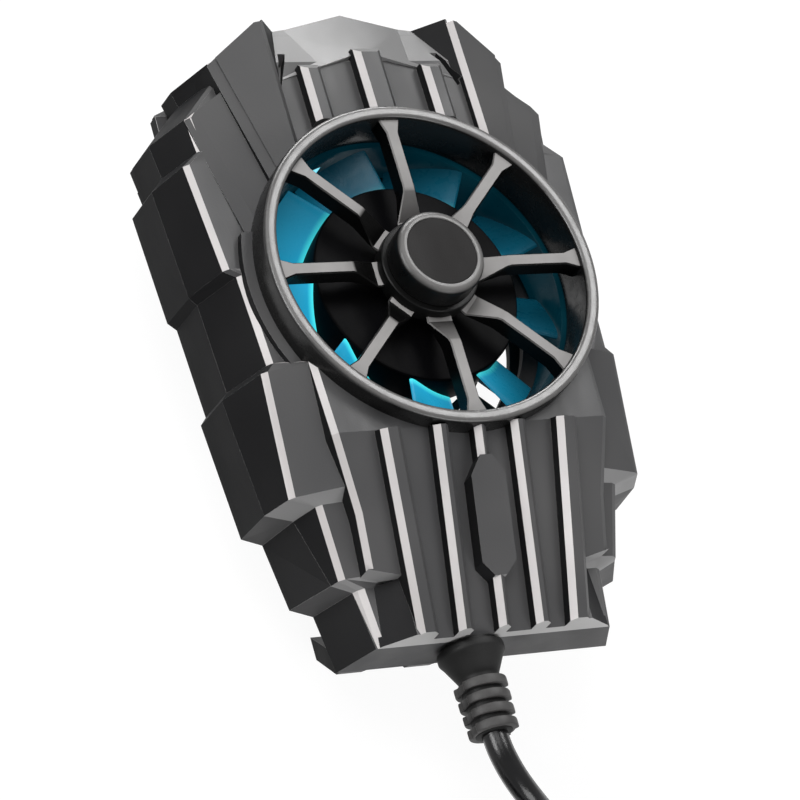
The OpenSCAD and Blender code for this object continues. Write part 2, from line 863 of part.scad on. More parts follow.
module fan_screws() {
    color([0.75, 0.75, 0.77])
    at_fan()
        for (p = ear_spots)
            translate([p[0], p[1], ear_z - ear_t])
            screw(ear_t + ear_screw_depth, 1.5, 0.8);
}

// Rear cover: side walls, floor with the air opening, jaw channel, claws
arm_out = half_w - 5.2;
arm_in = outlet_r + 1.0;
arm_w = arm_out - arm_in;
bar_low_y = fan_y + outlet_r + 3.9;
bar_top_y = upper_grip_y + 4.9;
channel_side = 0.3;
spring_room = 1.2;
claw_spots_lower = [-12.65, -3.45];
claw_spots_upper = [-12.65, 12.65];
lower_grip_y = -body_len / 2 + 5.7;
sill_y = lower_grip_y + 0.9;
spring_x = arm_in + 0.9;
spring_low_y = end_y + 11.4;
arm_low_y = bar_low_y - jaw_travel - arm_hold;

// Claw in profile: distance outwards from the grip, and height below the back
module claw_profile() {
    polygon([[0.8, 0.6], [claw_t + 1.8, 0.6], [claw_t + 1.8, 0], [claw_t, -claw_h * 0.62],
        [claw_t - 3.9, -claw_h], [-claw_lip, -claw_h], [0, -claw_h * 0.6], [0.8, 0]]);
}

// One claw at x = 0 with its grip face at y = 0, reaching out towards -Y
module claw() {
    intersection() {
        rotate([90, 0, 90])
            translate([0, 0, -claw_w])
            linear_extrude(2 * claw_w)
            mirror([1, 0, 0])
            claw_profile();
        rotate([90, 0, 0])
            translate([0, 0, -10])
            linear_extrude(20)
            polygon([[-claw_w / 2, 1], [claw_w / 2, 1], [claw_w / 2, 0],
                [claw_w / 2 - 0.8, -claw_h * 0.6], [claw_w / 2, -claw_h],
                [-claw_w / 2 + 0.6, -claw_h], [-claw_w / 2 + 0.3, -claw_h * 0.6], [-claw_w / 2, 0]]);
    }
}

module rear_cover() {
    color([0.17, 0.17, 0.18])
    difference() {
        union() {
            difference() {
                rear_sides(0, back_z, part_z);
                difference() {
                    translate([0, 0, -over])
                        linear_extrude(2 * over)
                        polygon(back_outline(wall + 2.4));
                    translate([-half_w, end_y, floor_z])
                        cube([body_w, body_len, floor_t]);
                    translate([-half_w, end_y - 1, 0])
                        cube([body_w, sill_y - end_y + 1, part_z]);
                    at_fan() {
                        for (p = plate_spots)
                            translate([p[0], p[1], plate_top])
                                cylinder(h = floor_z - plate_top + 0.1, r = boss_r);
                        for (p = case_spots)
                            translate([p[0], p[1], floor_top - 0.1])
                                cylinder(h = part_z - floor_top + 0.1, r = boss_r + 0.3);
                    }
                    for (m = [0, 1])
                        mirror([m, 0, 0])
                            translate([spring_x - spring_room, spring_low_y - 2, plate_top])
                            cube([2 * spring_room, 2, floor_z - plate_top + 0.1]);
                }
                translate([0, 0, back_z - 1])
                    linear_extrude(plate_t + 1)
                    plate_plan(0);
                jaw_channel();
            }
            for (x = claw_spots_lower)
                translate([x, lower_grip_y, back_z])
                    claw();
        }
        at_fan() {
            cylinder(h = rim_z, r = outlet_r + 0.4);
            for (p = case_spots) {
                translate([p[0], p[1], 0])
                    cylinder(h = rim_z, r = screw_r + 0.15);
                translate([p[0], p[1], floor_z - 1])
                    cylinder(h = 1.6, r = 1.6);
            }
            for (p = plate_spots)
                translate([p[0], p[1], plate_top - 1])
                    cylinder(h = 3.4, r = screw_r);
        }
        relief_bore();
    }
}

// Room that the slider needs over its whole travel
module jaw_channel() {
    low = plate_top;
    for (m = [0, 1])
        mirror([m, 0, 0])
            translate([arm_in - channel_side, arm_low_y - 0.3, low])
            cube([arm_w + 2 * channel_side, body_len, floor_z - low]);
    for (m = [0, 1])
        mirror([m, 0, 0])
            translate([spring_x - spring_room, spring_low_y, low])
            cube([2 * spring_room, arm_low_y - spring_low_y, floor_z - low]);
    translate([-arm_out - channel_side, bar_low_y - 0.4, low])
        cube([2 * (arm_out + channel_side), body_len, floor_z - low]);
}

// Outline of the back plate: inside the cover's walls, and over their ends above the jaw's bar
module plate_plan(gap) {
    intersection() {
        polygon(back_outline(wall + gap));
        translate([-half_w, sill_y + gap])
            square([body_w, bar_low_y - sill_y]);
    }
    intersection() {
        polygon(back_outline(gap));
        translate([-half_w, bar_low_y - 0.4 + gap])
            square([body_w, body_len]);
    }
}

grille_bar = 1.1;
grille_pitch = 3.4;
module back_plate() {
    color([0.15, 0.15, 0.16])
    translate([0, 0, back_z])
        difference() {
            linear_extrude(plate_t)
                plate_plan(0.1);
            at_fan()
                translate([0, 0, -1]) {
                    difference() {
                        cylinder(h = 5, r = outlet_r);
                        cylinder(h = 5, r = 3.2);
                        for (r = [3.2 + grille_pitch:grille_pitch:outlet_r - 1])
                            difference() {
                                cylinder(h = 5, r = r + grille_bar / 2);
                                translate([0, 0, -1])
                                    cylinder(h = 9, r = r - grille_bar / 2);
                            }
                        for (a = [0:45:315])
                            rotate([0, 0, a])
                            translate([0, -grille_bar / 2, 0])
                            cube([outlet_r + 1, grille_bar, 5]);
                    }
                    for (p = plate_spots) {
                        translate([p[0], p[1], 0])
                            cylinder(h = 5, r = screw_r + 0.15);
                        translate([p[0], p[1], 0])
                            cylinder(h = 1.5, r = 1.6);
                    }
                }
            for (x = claw_spots_upper)
                translate([x - claw_w / 2 - 0.35, upper_grip_y + 0.4, -1])
                    cube([claw_w + 0.7, body_len, 5]);
        }
}

module case_screws() {
    color([0.75, 0.75, 0.77])
    at_fan()
        for (p = case_spots)
            translate([p[0], p[1], floor_z + 0.6])
            screw(part_z + screw_depth - floor_z - 0.6, 1.5, 0.6);
}

module plate_screws() {
    color([0.75, 0.75, 0.77])
    at_fan()
        for (p = plate_spots)
            translate([p[0], p[1], back_z + 0.5])
            screw(2.6, 1.5, 0.45);
}

pad_shift = 1.15;
module phone_pads() {
    color([0.1, 0.1, 0.1])
    for (m = [0, 1])
        mirror([m, 0, 0])
            translate([arm_out + 0.9 - pad_w, -pad_len / 2 + pad_shift, back_z - pad_t])
            cube([pad_w, pad_len, pad_t]);
}

module jaw_slider() {
    color([0.2, 0.2, 0.22]) {
        translate([0, 0, slider_z])
            linear_extrude(slider_t)
            union() {
                translate([-arm_out, bar_low_y])
                    square([2 * arm_out, bar_top_y - bar_low_y]);
                for (s = [-1, 1])
                    translate([s > 0 ? arm_in : -arm_out, arm_low_y])
                        square([arm_w, bar_low_y - arm_low_y + 1]);
            }
        for (x = claw_spots_upper)
            translate([x, upper_grip_y, back_z])
                mirror([0, 1, 0]) {
                    claw();
                    translate([-claw_w / 2, -claw_t - 1.8, 0])
                        cube([claw_w, claw_t + 1, slider_z - back_z + 0.2]);
                }
    }
}

module grip() {
    translate([-claw_w / 2 + 0.7, 0, -claw_h * 0.58])
        rotate([-atan(0.8 / (claw_h * 0.6)), 0, 0])
        cube([claw_w - 1.5, grip_t, claw_h * 0.46]);
}

module upper_claw_grips() {
    color([0.08, 0.08, 0.08])
    for (x = claw_spots_upper)
        translate([x, upper_grip_y, back_z])
            mirror([0, 1, 0])
            grip();
}

module lower_claw_grips() {
    color([0.08, 0.08, 0.08])
    for (x = claw_spots_lower)
        translate([x, lower_grip_y, back_z])
            grip();
}

// Unbroken tube through a row of points; ups are directions square to the path there
function unit(v) = v / norm(v);
function tangent(p, i) = unit(p[min(i + 1, len(p) - 1)] - p[max(i - 1, 0)]);

module tube(path, ups, r, sides) {
    n = len(path);
    rings = [for (i = [0:n - 1])
        let (t = tangent(path, i), u = unit(cross(ups[i], t)), v = cross(t, u))
        for (k = [0:sides - 1])
        let (a = (k + 0.5) * 360 / sides) path[i] + r * (cos(a) * u + sin(a) * v)];
    walls = [for (i = [0:n - 2], k = [0:sides - 1])
        let (a = i * sides + k, b = i * sides + (k + 1) % sides)
        each [[a, a + sides, b + sides], [a, b + sides, b]]];
    polyhedron(points = rings, faces = concat([[for (k = [0:sides - 1]) k]], walls,
        [[for (k = [sides - 1:-1:0]) (n - 1) * sides + k]]));
}

function all_up(path) = [for (p = path) [0, 0, 1]];

// Least gap of a wound tube to itself, measured between its points one part of a turn or more apart
function least_gap(path, d, apart) = min([for (i = [0:len(path) - 1 - apart])
    for (j = [i + apart:len(path) - 1]) norm(path[i] - path[j])]) - d;

// Return springs of the jaw: close curls with a short straight end at each side
spring_curls = 15;
spring_r = 0.72;
wire_d = 0.45;
spring_len = arm_low_y - spring_low_y;
function spring_point(x, i) = let (a = i * 45, s = wire_d + (spring_len - 2 * wire_d) * i / (8 * spring_curls))
    [x + spring_r * cos(a), spring_low_y + s, slider_z + slider_t / 2 + spring_r * sin(a)];
function spring_path(x) = concat(
    [[x + spring_r, spring_low_y, slider_z + slider_t / 2]],
    [for (i = [0:8 * spring_curls]) spring_point(x, i)],
    [[x + spring_r, arm_low_y, slider_z + slider_t / 2]]);
spring_ups = concat([[1, 0, 0]], [for (i = [0:8 * spring_curls]) [cos(i * 45), 0, sin(i * 45)]], [[1, 0, 0]]);

module spring(side) {
    path = spring_path(side * spring_x);
    echo(spring_gap = least_gap(path, wire_d, 5));
    color([0.8, 0.8, 0.82])
        tube(path, spring_ups, wire_d / 2, 6);
}
module spring_left() {
    spring(-1);
}
module spring_right() {
    spring(1);
}

// Strain relief: collar and cone, four ribs on a sleeve, a neck and a flange inside the wall
relief_r = 4.1;
relief_ribs = 4;
cone_end = 4.2;
sleeve_end_r = 3.05;
module strain_relief() {
    pitch = (relief_len - cone_end) / relief_ribs;
    groove = 0.6;
    color([0.3, 0.3, 0.31])
    translate([exit_x, end_y, relief_z])
        rotate([90, 0, 0])
        difference() {
            rotate_extrude()
                polygon(concat([[0, -neck_len - 2], [flange_r, -neck_len - 2], [flange_r, -neck_len],
                    [neck_r, -neck_len], [neck_r, 0], [relief_r - 0.6, 0], [relief_r - 0.6, 0.5],
                    [relief_r, 0.5], [relief_r, 1.4], [relief_r - 0.3, 1.9]],
                    [for (k = [0:relief_ribs - 1]) let (r = sleeve_end_r + 0.06 * (relief_ribs - 1 - k),
                        z = cone_end + k * pitch)
                        each [[r - 0.65, z], [r - 0.65, z + groove], [r, z + groove + 0.1], [r, z + pitch]]],
                    [[0, relief_len]]));
            translate([0, 0, -neck_len - 3])
                cylinder(h = neck_len + 4, r = 0.9);
        }
}

// Two wires from the strain relief to the motor's board, which they meet from below
wire_r = 0.33;
module inner_lead() {
    start_y = end_y + neck_len + 2;
    lead_z = floor_top + wire_r + 0.05;
    for (s = [-1, 1]) {
        x = exit_x + s * lead_spread;
        path = [[x, start_y, relief_z], [x, start_y + 1, relief_z],
            [x, start_y + 2.6, lead_z], [x, start_y + 5.4, lead_z], [x, fan_y + lead_end_y - 1.4, lead_z],
            [x, fan_y + lead_end_y - 0.5, lead_z + 0.1],
            [x, fan_y + lead_end_y - 0.05, lead_z + 0.5],
            [x, fan_y + lead_end_y, lead_z + 0.9], [x, fan_y + lead_end_y, base_top]];
        color(s < 0 ? [0.7, 0.1, 0.1] : [0.1, 0.1, 0.1])
            tube(path, [for (i = [0:len(path) - 1]) [s, 0, 0]], wire_r, 8);
    }
}

// Route of the free lead, from the strain relief over the edge and down to the table
lay_z = 2.1;
cord_points = [[-2.7, -52.75, 16.1], [-2.4, -55.2, 16.0], [-1.3, -57.9, 15.4], [0.9, -60.3, 13.8],
    [4.2, -61.6, 10.6], [8.2, -61.2, 7.0], [12.8, -60.0, 4.3], [18, -59.8, 2.8], [23.8, -61.5, 2.1],
    [29.4, -65.3, 2.1],
    [34.4, -71.1, 2.1], [37.4, -77.9, 2.1], [37.9, -81.3, 2.1], [37.9, -84.5, 2.1]];

// Smooth curve through the chosen points
function bend(a, b, c, d, t) = 0.5 * (2 * b + (c - a) * t + (2 * a - 5 * b + 4 * c - d) * t * t
    + (3 * b - a - 3 * c + d) * t * t * t);
function smooth(p, n) = [for (i = [0:len(p) - 2], k = [0:n - 1])
    bend(i == 0 ? 2 * p[0] - p[1] : p[i - 1], p[i], p[i + 1],
        i + 2 > len(p) - 1 ? 2 * p[i + 1] - p[i] : p[i + 2], k / n)];
function smooth_path(p, n) = concat(smooth(p, n), [p[len(p) - 1]]);

module cord() {
    path = smooth_path(cord_points, 1);
    color([0.12, 0.12, 0.12])
        tube(path, all_up(path), cord_d / 2, 8);
}

// Put-away coil: in along the table, up a layer in half a turn, and out again
coil_x = 15;
coil_y = -84.5;
coil_pitch = cord_d + 0.45;
coil_out_r = 22.9;
coil_in_r = coil_out_r - coil_pitch * layer_turns;
half_turn = 0.5;
coil_turns = 2 * layer_turns + half_turn;
coil_rings = 24;
function coil_share(t) = min(1, max(0, (t - layer_turns) / half_turn));
function coil_r(t) = t < layer_turns ? coil_out_r - coil_pitch * t
    : t < layer_turns + half_turn ? coil_in_r - 1.2 * sin(180 * coil_share(t))
    : coil_in_r + coil_pitch * (t - layer_turns - half_turn);
function coil_z(t) = lay_z + coil_pitch * (1 - cos(180 * coil_share(t))) / 2;
function coil_point(t) = [coil_x + coil_r(t) * cos(-360 * t), coil_y + coil_r(t) * sin(-360 * t), coil_z(t)];
coil_ends = [[coil_x + coil_out_r, coil_y, lay_z], [coil_x, coil_y - coil_out_r, lay_z + coil_pitch]];
coil_path = concat([coil_ends[0], coil_ends[0] - [0, cord_d, 0]],
    [for (i = [1:coil_turns * coil_rings - 1]) coil_point(i / coil_rings)],
    [coil_ends[1], coil_ends[1] - [cord_d, 0, 0]]);

module cord_coil() {
    echo(coil_gap = least_gap(coil_path, cord_d, 9));
    echo(coil_len = path_len(coil_path));
    echo(cord_len = path_len(smooth_path(cord_points, 4)));
    echo(tail_len = path_len(smooth_path(tail_points, 4)));
    color([0.12, 0.12, 0.12])
        tube(coil_path, all_up(coil_path), cord_d / 2, 6);
}
function path_len(p, i = 0) = i > len(p) - 2 ? 0 : norm(p[i + 1] - p[i]) + path_len(p, i + 1);

// Tail of the lead, from the coil down to the plug beside it
tail_points = [[11.85, -107.4, 5.7], [5.6, -107.4, 5.3], [-1, -107.2, 4.2], [-7.4, -106, 3.4],
    [-12.8, -102.8, 3.4], [-16, -97.4, 3.8], [-16.6, -91.6, 4], [-16.6, -88.6, 4]];
module cord_tail() {
    path = smooth_path(tail_points, 1);
    color([0.12, 0.12, 0.12])
        tube(path, all_up(path), cord_d / 2, 8);
}

tie_w = 5;
tie_t = 0.5;
module coil_tie() {
    inner = coil_in_r - 1.2 - cord_d / 2 - 0.2;
    outer = coil_out_r + cord_d / 2 + 0.2;
    height = 2 * lay_z - tie_t + coil_pitch;
    color([0.1, 0.1, 0.1])
    translate([coil_x, coil_y, 0])
        rotate([0, 0, 200])
        difference() {
            translate([inner - tie_t, -tie_w / 2, 0])
                cube([outer - inner + 2 * tie_t, tie_w, height + tie_t]);
            translate([inner, -tie_w, tie_t])
                cube([outer - inner, 2 * tie_w, height - tie_t]);
        }
}

// Plug at the far end
plug_x = -16.6;
plug_y = -88.6;
plug_w = 15.7;
plug_h = 8;
plug_len = 18;
shell_w = 12;
shell_h = 4.5;
module plug_body() {
    color([0.13, 0.13, 0.14])
    translate([plug_x, plug_y, plug_h / 2])
        rotate([-90, 0, 0])
        difference() {
            linear_extrude(plug_len)
                rounded(plug_w, plug_h, 2);
            translate([0, 0, plug_len - 3])
                linear_extrude(4)
                square([shell_w, shell_h], center = true);
        }
}

module rounded(w, h, r) {
    square([w - 2 * r, h], center = true);
    square([w, h - 2 * r], center = true);
    for (x = [-1, 1], y = [-1, 1])
        translate([x * (w / 2 - r), y * (h / 2 - r)])
        circle(r, $fn = 24);
}

shell_len = 14;
module plug_shell() {
    t = 0.35;
    color([0.8, 0.8, 0.82])
    translate([plug_x, plug_y + plug_len - 3, plug_h / 2])
        rotate([-90, 0, 0])
        difference() {
            linear_extrude(shell_len)
                square([shell_w, shell_h], center = true);
            translate([0, 0, 1])
                linear_extrude(shell_len)
                square([shell_w - 2 * t, shell_h - 2 * t], center = true);
            for (x = [-3, 3])
                translate([x - 1.1, -shell_h, 8])
                cube([2.2, shell_h, 2.2]);
        }
}

module plug_tongue() {
    color([0.9, 0.9, 0.92])
    translate([plug_x - shell_w / 2 + 0.35, plug_y + plug_len - 2, plug_h / 2 - shell_h / 2 + 0.35])
        cube([shell_w - 0.7, shell_len - 2, 1.8]);
}

front_shell();
fan_guard();
hub_cap();
hub_disc();
fan_frame();
fan_rotor();
rotor_yoke();
rotor_magnet();
rotor_shaft();
shaft_clip();
bearing_sleeve();
stator_core();
stator_coils();
motor_board();
led_lamps();
fan_screws();
rear_cover();
case_screws();
back_plate();
plate_screws();
phone_pads();
jaw_slider();
upper_claw_grips();
lower_claw_grips();
spring_left();
spring_right();
strain_relief();
inner_lead();
cord();
cord_coil();
cord_tail();
coil_tie();
plug_body();
plug_shell();
plug_tongue();
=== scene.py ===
from math import cos, pi, radians, sin, tan

import bmesh
import bpy
from mathutils import Matrix, Vector


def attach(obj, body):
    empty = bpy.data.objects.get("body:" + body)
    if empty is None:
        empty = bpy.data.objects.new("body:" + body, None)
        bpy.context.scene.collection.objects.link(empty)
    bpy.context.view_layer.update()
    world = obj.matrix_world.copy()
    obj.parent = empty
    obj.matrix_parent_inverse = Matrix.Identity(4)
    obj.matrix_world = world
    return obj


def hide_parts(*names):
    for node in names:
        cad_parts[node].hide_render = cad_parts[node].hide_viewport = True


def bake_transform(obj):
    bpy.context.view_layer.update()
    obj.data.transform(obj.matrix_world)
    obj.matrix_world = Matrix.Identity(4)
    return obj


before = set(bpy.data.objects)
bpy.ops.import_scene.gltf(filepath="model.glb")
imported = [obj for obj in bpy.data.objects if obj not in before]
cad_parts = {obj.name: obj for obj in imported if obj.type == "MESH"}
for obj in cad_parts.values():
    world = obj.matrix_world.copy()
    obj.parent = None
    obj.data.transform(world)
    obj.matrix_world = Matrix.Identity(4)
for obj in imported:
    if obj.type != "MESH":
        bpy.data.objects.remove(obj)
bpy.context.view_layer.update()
mm = 0.001


# The view: the fan lies on its claw tips and is seen from above its lower left corner,
# with the body running up to the right. The lens is long, so the sides stay almost parallel.
eye = Vector((-0.1984, -0.17535, 0.3514))
picture_right = Vector((0.88412, -0.26077, 0.38773))
picture_up = Vector((0.05377, 0.88105, 0.46995))
picture_back = Vector((-0.46416, -0.39464, 0.79298))

camera = bpy.data.objects.new("camera", bpy.data.cameras.new("camera"))
camera.data.sensor_width = 36
camera.data.lens = 156.1
camera.matrix_world = Matrix((picture_right, picture_up, picture_back)).transposed().to_4x4()
camera.location = eye
bpy.context.collection.objects.link(camera)
bpy.context.scene.camera = camera


# Lead: one round two-core cord in soft black rubber. It leaves the strain relief, sinks past the
# foot of the fan to the table, lies in a flat coil of two layers and ends in the plug's sleeve.
lead_diameter = 0.00315
way_out = [
    (-2.7, -52.75, 16.1), (-2.4, -55.2, 16.0), (-1.3, -57.9, 15.4), (0.9, -60.3, 13.8),
    (4.2, -61.6, 10.6), (8.2, -61.2, 7.0), (12.8, -60.0, 4.3), (18, -59.8, 2.8), (23.8, -61.5, 2.1),
    (29.4, -65.3, 2.1), (34.4, -71.1, 2.1), (37.4, -77.9, 2.1), (37.9, -81.3, 2.1),
    (37.9, -84.5, 2.1),
]
way_to_plug = [
    (11.85, -107.4, 5.7), (5.6, -107.4, 5.3), (-1.0, -107.2, 4.2), (-7.4, -106.0, 3.4),
    (-12.8, -102.8, 3.4), (-16.0, -97.4, 3.8), (-16.6, -91.6, 4.0), (-16.6, -88.6, 4.0),
]
coil_middle = (15.0, -84.5)
coil_outer = 22.9
coil_step = 3.6
layer_turns = 3.875
climb_turns = 0.5
climb_dip = 1.2
lying_height = 2.1
points_per_turn = 48


def eased(points, steps):
    """A smooth line through given points, in millimetres."""
    line = []
    for i in range(len(points) - 1):
        b, c = Vector(points[i]), Vector(points[i + 1])
        a = Vector(points[i - 1]) if i else 2 * b - c
        d = Vector(points[i + 2]) if i + 2 < len(points) else 2 * c - b
        for k in range(steps):
            t = k / steps
            line.append(0.5 * (2 * b + (c - a) * t + (2 * a - 5 * b + 4 * c - d) * t * t
                               + (3 * b - a - 3 * c + d) * t * t * t))
    return line + [Vector(points[-1])]


def coil_point(turns):
    """Where the coil's middle line is after so many turns, wound inwards and then outwards."""
    share = min(1.0, max(0.0, (turns - layer_turns) / climb_turns))
    inner = coil_outer - coil_step * layer_turns
    if turns < layer_turns:
        radius = coil_outer - coil_step * turns
    elif share < 1:
        radius = inner - climb_dip * sin(pi * share)
    else:
        radius = inner + coil_step * (turns - layer_turns - climb_turns)
    around = -2 * pi * turns
    return Vector((coil_middle[0] + radius * cos(around), coil_middle[1] + radius * sin(around),
                   lying_height + coil_step * (1 - cos(pi * share)) / 2))


coil_turns = 2 * layer_turns + climb_turns
straight = lead_diameter / mm
coil_line = [Vector((coil_middle[0] + coil_outer, coil_middle[1] - straight, lying_height))]
coil_line += [coil_point(k / points_per_turn)
              for k in range(2, int(coil_turns * points_per_turn - 1))]
coil_line += [Vector((coil_middle[0], coil_middle[1] - coil_outer, lying_height + coil_step))]
lead_line = eased(way_out, 4) + coil_line + eased(way_to_plug, 4)


def round_cord(name, line, diameter):
    """A round cord along points in millimetres, as one open curve in metres."""
    data = bpy.data.curves.new(name, "CURVE")
    data.dimensions = "3D"
    data.bevel_depth = diameter / 2
    data.bevel_resolution = 3
    data.use_fill_caps = True
    spline = data.splines.new("POLY")
    spline.points.add(len(line) - 1)
    for point, place in zip(spline.points, line):
        point.co = (*(place * mm), 1)
    spline.use_smooth = True
    piece = bpy.data.objects.new(name, data)
    bpy.context.collection.objects.link(piece)
    return piece


def nodes_of(material):
    """A material's empty node tree with a shader, its output, and the piece's own coordinates."""
    material.use_nodes = True
    tree = material.node_tree
    tree.nodes.clear()
    shader = tree.nodes.new("ShaderNodeBsdfPrincipled")
    output = tree.nodes.new("ShaderNodeOutputMaterial")
    place = tree.nodes.new("ShaderNodeTexCoord")
    tree.links.new(shader.outputs["BSDF"], output.inputs["Surface"])
    return tree, shader, place.outputs["Object"]


def noise(tree, place, scale, detail=3.0, stretch=None):
    """Soft noise on the piece, its grain one metre divided by the scale, drawn out if stretched."""
    if stretch:
        mapping = tree.nodes.new("ShaderNodeMapping")
        mapping.inputs["Scale"].default_value = stretch
        tree.links.new(place, mapping.inputs["Vector"])
        place = mapping.outputs["Vector"]
    made = tree.nodes.new("ShaderNodeTexNoise")
    made.inputs["Scale"].default_value = scale
    made.inputs["Detail"].default_value = detail
    tree.links.new(place, made.inputs["Vector"])
    return made.outputs["Fac"]


def between(tree, amount, low, high, start=0.3, end=0.7):
    """The amount between start and end, spread from low to high."""
    spread = tree.nodes.new("ShaderNodeMapRange")
    spread.inputs["From Min"].default_value = start
    spread.inputs["From Max"].default_value = end
    spread.inputs["To Min"].default_value = low
    spread.inputs["To Max"].default_value = high
    tree.links.new(amount, spread.inputs["Value"])
    return spread.outputs["Result"]


def shades(tree, amount, *stops):
    """Colours by amount: each stop is its place from 0 to 1 and its linear colour."""
    ramp = tree.nodes.new("ShaderNodeValToRGB")
    while len(ramp.color_ramp.elements) < len(stops):
        ramp.color_ramp.elements.new(0.5)
    for element, (at, colour) in zip(ramp.color_ramp.elements, stops):
        element.position = at
        element.color = (*colour, 1)
    tree.links.new(amount, ramp.inputs["Fac"])
    return ramp.outputs["Color"]


def grain(tree, shader, place, scale, depth, strength=0.6):
    """Fine raised grain, its depth in metres."""
    bump = tree.nodes.new("ShaderNodeBump")
    bump.inputs["Distance"].default_value = depth
    bump.inputs["Strength"].default_value = strength
    tree.links.new(noise(tree, place, scale), bump.inputs["Height"])
    tree.links.new(bump.outputs["Normal"], shader.inputs["Normal"])


def rubber(name, dark, pale, roughness, gloss=0.12):
    """Soft black rubber: a faint bloom in patches and a fine matt skin."""
    material = bpy.data.materials.new(name)
    tree, shader, place = nodes_of(material)
    bloom = noise(tree, place, 190.0)
    tree.links.new(shades(tree, bloom, (0.35, dark), (0.7, pale)), shader.inputs["Base Color"])
    tree.links.new(between(tree, bloom, roughness - 0.06, roughness + 0.1),
                   shader.inputs["Roughness"])
    shader.inputs["Specular IOR Level"].default_value = gloss
    grain(tree, shader, place, 5200.0, 0.00003)
    return material


lead = round_cord("lead", lead_line, lead_diameter)
lead.data.materials.append(rubber("cord_rubber_black", (0.003, 0.003, 0.0035),
                                  (0.007, 0.007, 0.008), 0.2, 0.26))
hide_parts("cord", "cord_coil", "cord_tail")
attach(lead, "housing")


# Front shell: the stepped, ribbed armour of the fan, injection moulded in near-black plastic with a
# fine satin grain. Four screws from behind hold it. Its tops are smoother than its drafted side
# walls. Its side walls carry painted shade, near black; its bevels that face the left or the back,
# its roof but for its right side and its faces towards the lower end carry painted highlights,
# palest at the lower end.
bevel_width = 1.6 * mm
roof_start = 30 * mm
end_start = -38 * mm
cut_angle = radians(9)
broken_angle = radians(28)
seam_angle = radians(0.5)
weld_distance = 0.000002
on_tops, on_edges, on_walls, on_facets, on_end = range(5)


def merged(node):
    """A node's own skin as one closed mesh without the flat seams between its triangles."""
    skin = bmesh.new()
    skin.from_mesh(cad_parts[node].data)
    bmesh.ops.remove_doubles(skin, verts=skin.verts, dist=weld_distance)
    bmesh.ops.dissolve_limit(skin, angle_limit=seam_angle, verts=skin.verts, edges=skin.edges)
    return skin


def is_bevel(face):
    """A long narrow face that slopes sideways between a top and a wall, or off a rib's end."""
    length, area = max(edge.calc_length() for edge in face.edges), face.calc_area()
    normal = face.normal
    side = abs(normal.x) > 0.4 and abs(normal.y) < 0.4 and area < bevel_width * length
    end = abs(normal.x) < 0.2 and normal.y > 0.6 and area < 0.6 * bevel_width * length
    return 0.5 < normal.z < 0.97 and (side or end) and 2 * area < length * length


def is_facet(normal, middle):
    """A face of the sloping roof, but for its right side, or one that faces the lower end: the
    faces that get a painted highlight.
    """
    roof = normal.y > 0.2 and normal.z > 0.3 and normal.x < 0.25 and middle.y > roof_start
    return roof or normal.y < -0.6


def share_out(mesh, count):
    """Give each face its finish by the way it faces: edges that face the left or the back get a
    painted highlight, walls get painted shade.
    """
    for face in mesh.polygons:
        normal = face.normal
        if face.material_index == on_edges:
            # Bevels that face the left or the back keep the pale finish as a painted highlight; the
            # others take the tops' finish.
            rub_and_painted_highlight = normal.z > 0.15 and (normal.x < -0.2 or normal.y > 0.35)
            face.material_index = on_edges if rub_and_painted_highlight else on_tops
        elif abs(normal.x) > 0.55 or (normal.y > 0.4 and normal.z < 0.35):
            face.material_index = on_walls
        elif count > on_facets and is_facet(normal, face.center):
            face.material_index = on_end if face.center.y < end_start else on_facets


def moulded(node, edge, finishes, body="housing"):
    """A node's skin with its outer edges broken. The finishes are for its tops, edges and walls."""
    skin = merged(node)
    shared = len(finishes) > on_walls
    for face in skin.faces:
        face.smooth = True
        face.material_index = on_edges if shared and is_bevel(face) else on_tops
    mesh = bpy.data.meshes.new(node + "_moulding")
    skin.to_mesh(mesh)
    skin.free()
    mesh.set_sharp_from_angle(angle=cut_angle)
    piece = bpy.data.objects.new(node + "_moulding", mesh)
    bpy.context.collection.objects.link(piece)
    for finish in finishes:
        mesh.materials.append(finish)
    broken = piece.modifiers.new("broken edges", "BEVEL")
    broken.width = edge
    broken.segments = 2
    broken.limit_method = "ANGLE"
    broken.angle_limit = broken_angle
    broken.miter_outer = "MITER_ARC"
    broken.material = on_edges if len(finishes) > on_edges else on_tops
    level = piece.modifiers.new("even shading", "WEIGHTED_NORMAL")
    level.keep_sharp = True
    if shared:
        piece.data = bpy.data.meshes.new_from_object(
            piece.evaluated_get(bpy.context.evaluated_depsgraph_get()))
        piece.data.name = node + "_moulding_cut"
        piece.modifiers.clear()
        share_out(piece.data, len(finishes))
    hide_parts(node)
    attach(piece, body)
    return piece


def satin(name, dark, pale, roughness, gloss=0.4):
    """Satin moulded plastic: a slow change of shade, a spark-eroded grain and rubbed patches."""
    material = bpy.data.materials.new(name)
    tree, shader, place = nodes_of(material)
    slow = noise(tree, place, 46.0, 2.0)
    tree.links.new(shades(tree, slow, (0.32, dark), (0.68, pale)), shader.inputs["Base Color"])
    rub_and_painted_highlight = noise(tree, place, 260.0, 4.0, (1.0, 0.35, 1.0))
    tree.links.new(between(tree, rub_and_painted_highlight, roughness - 0.05, roughness + 0.08),
                   shader.inputs["Roughness"])
    shader.inputs["Specular IOR Level"].default_value = gloss
    grain(tree, shader, place, 4200.0, 0.00002)
    return material


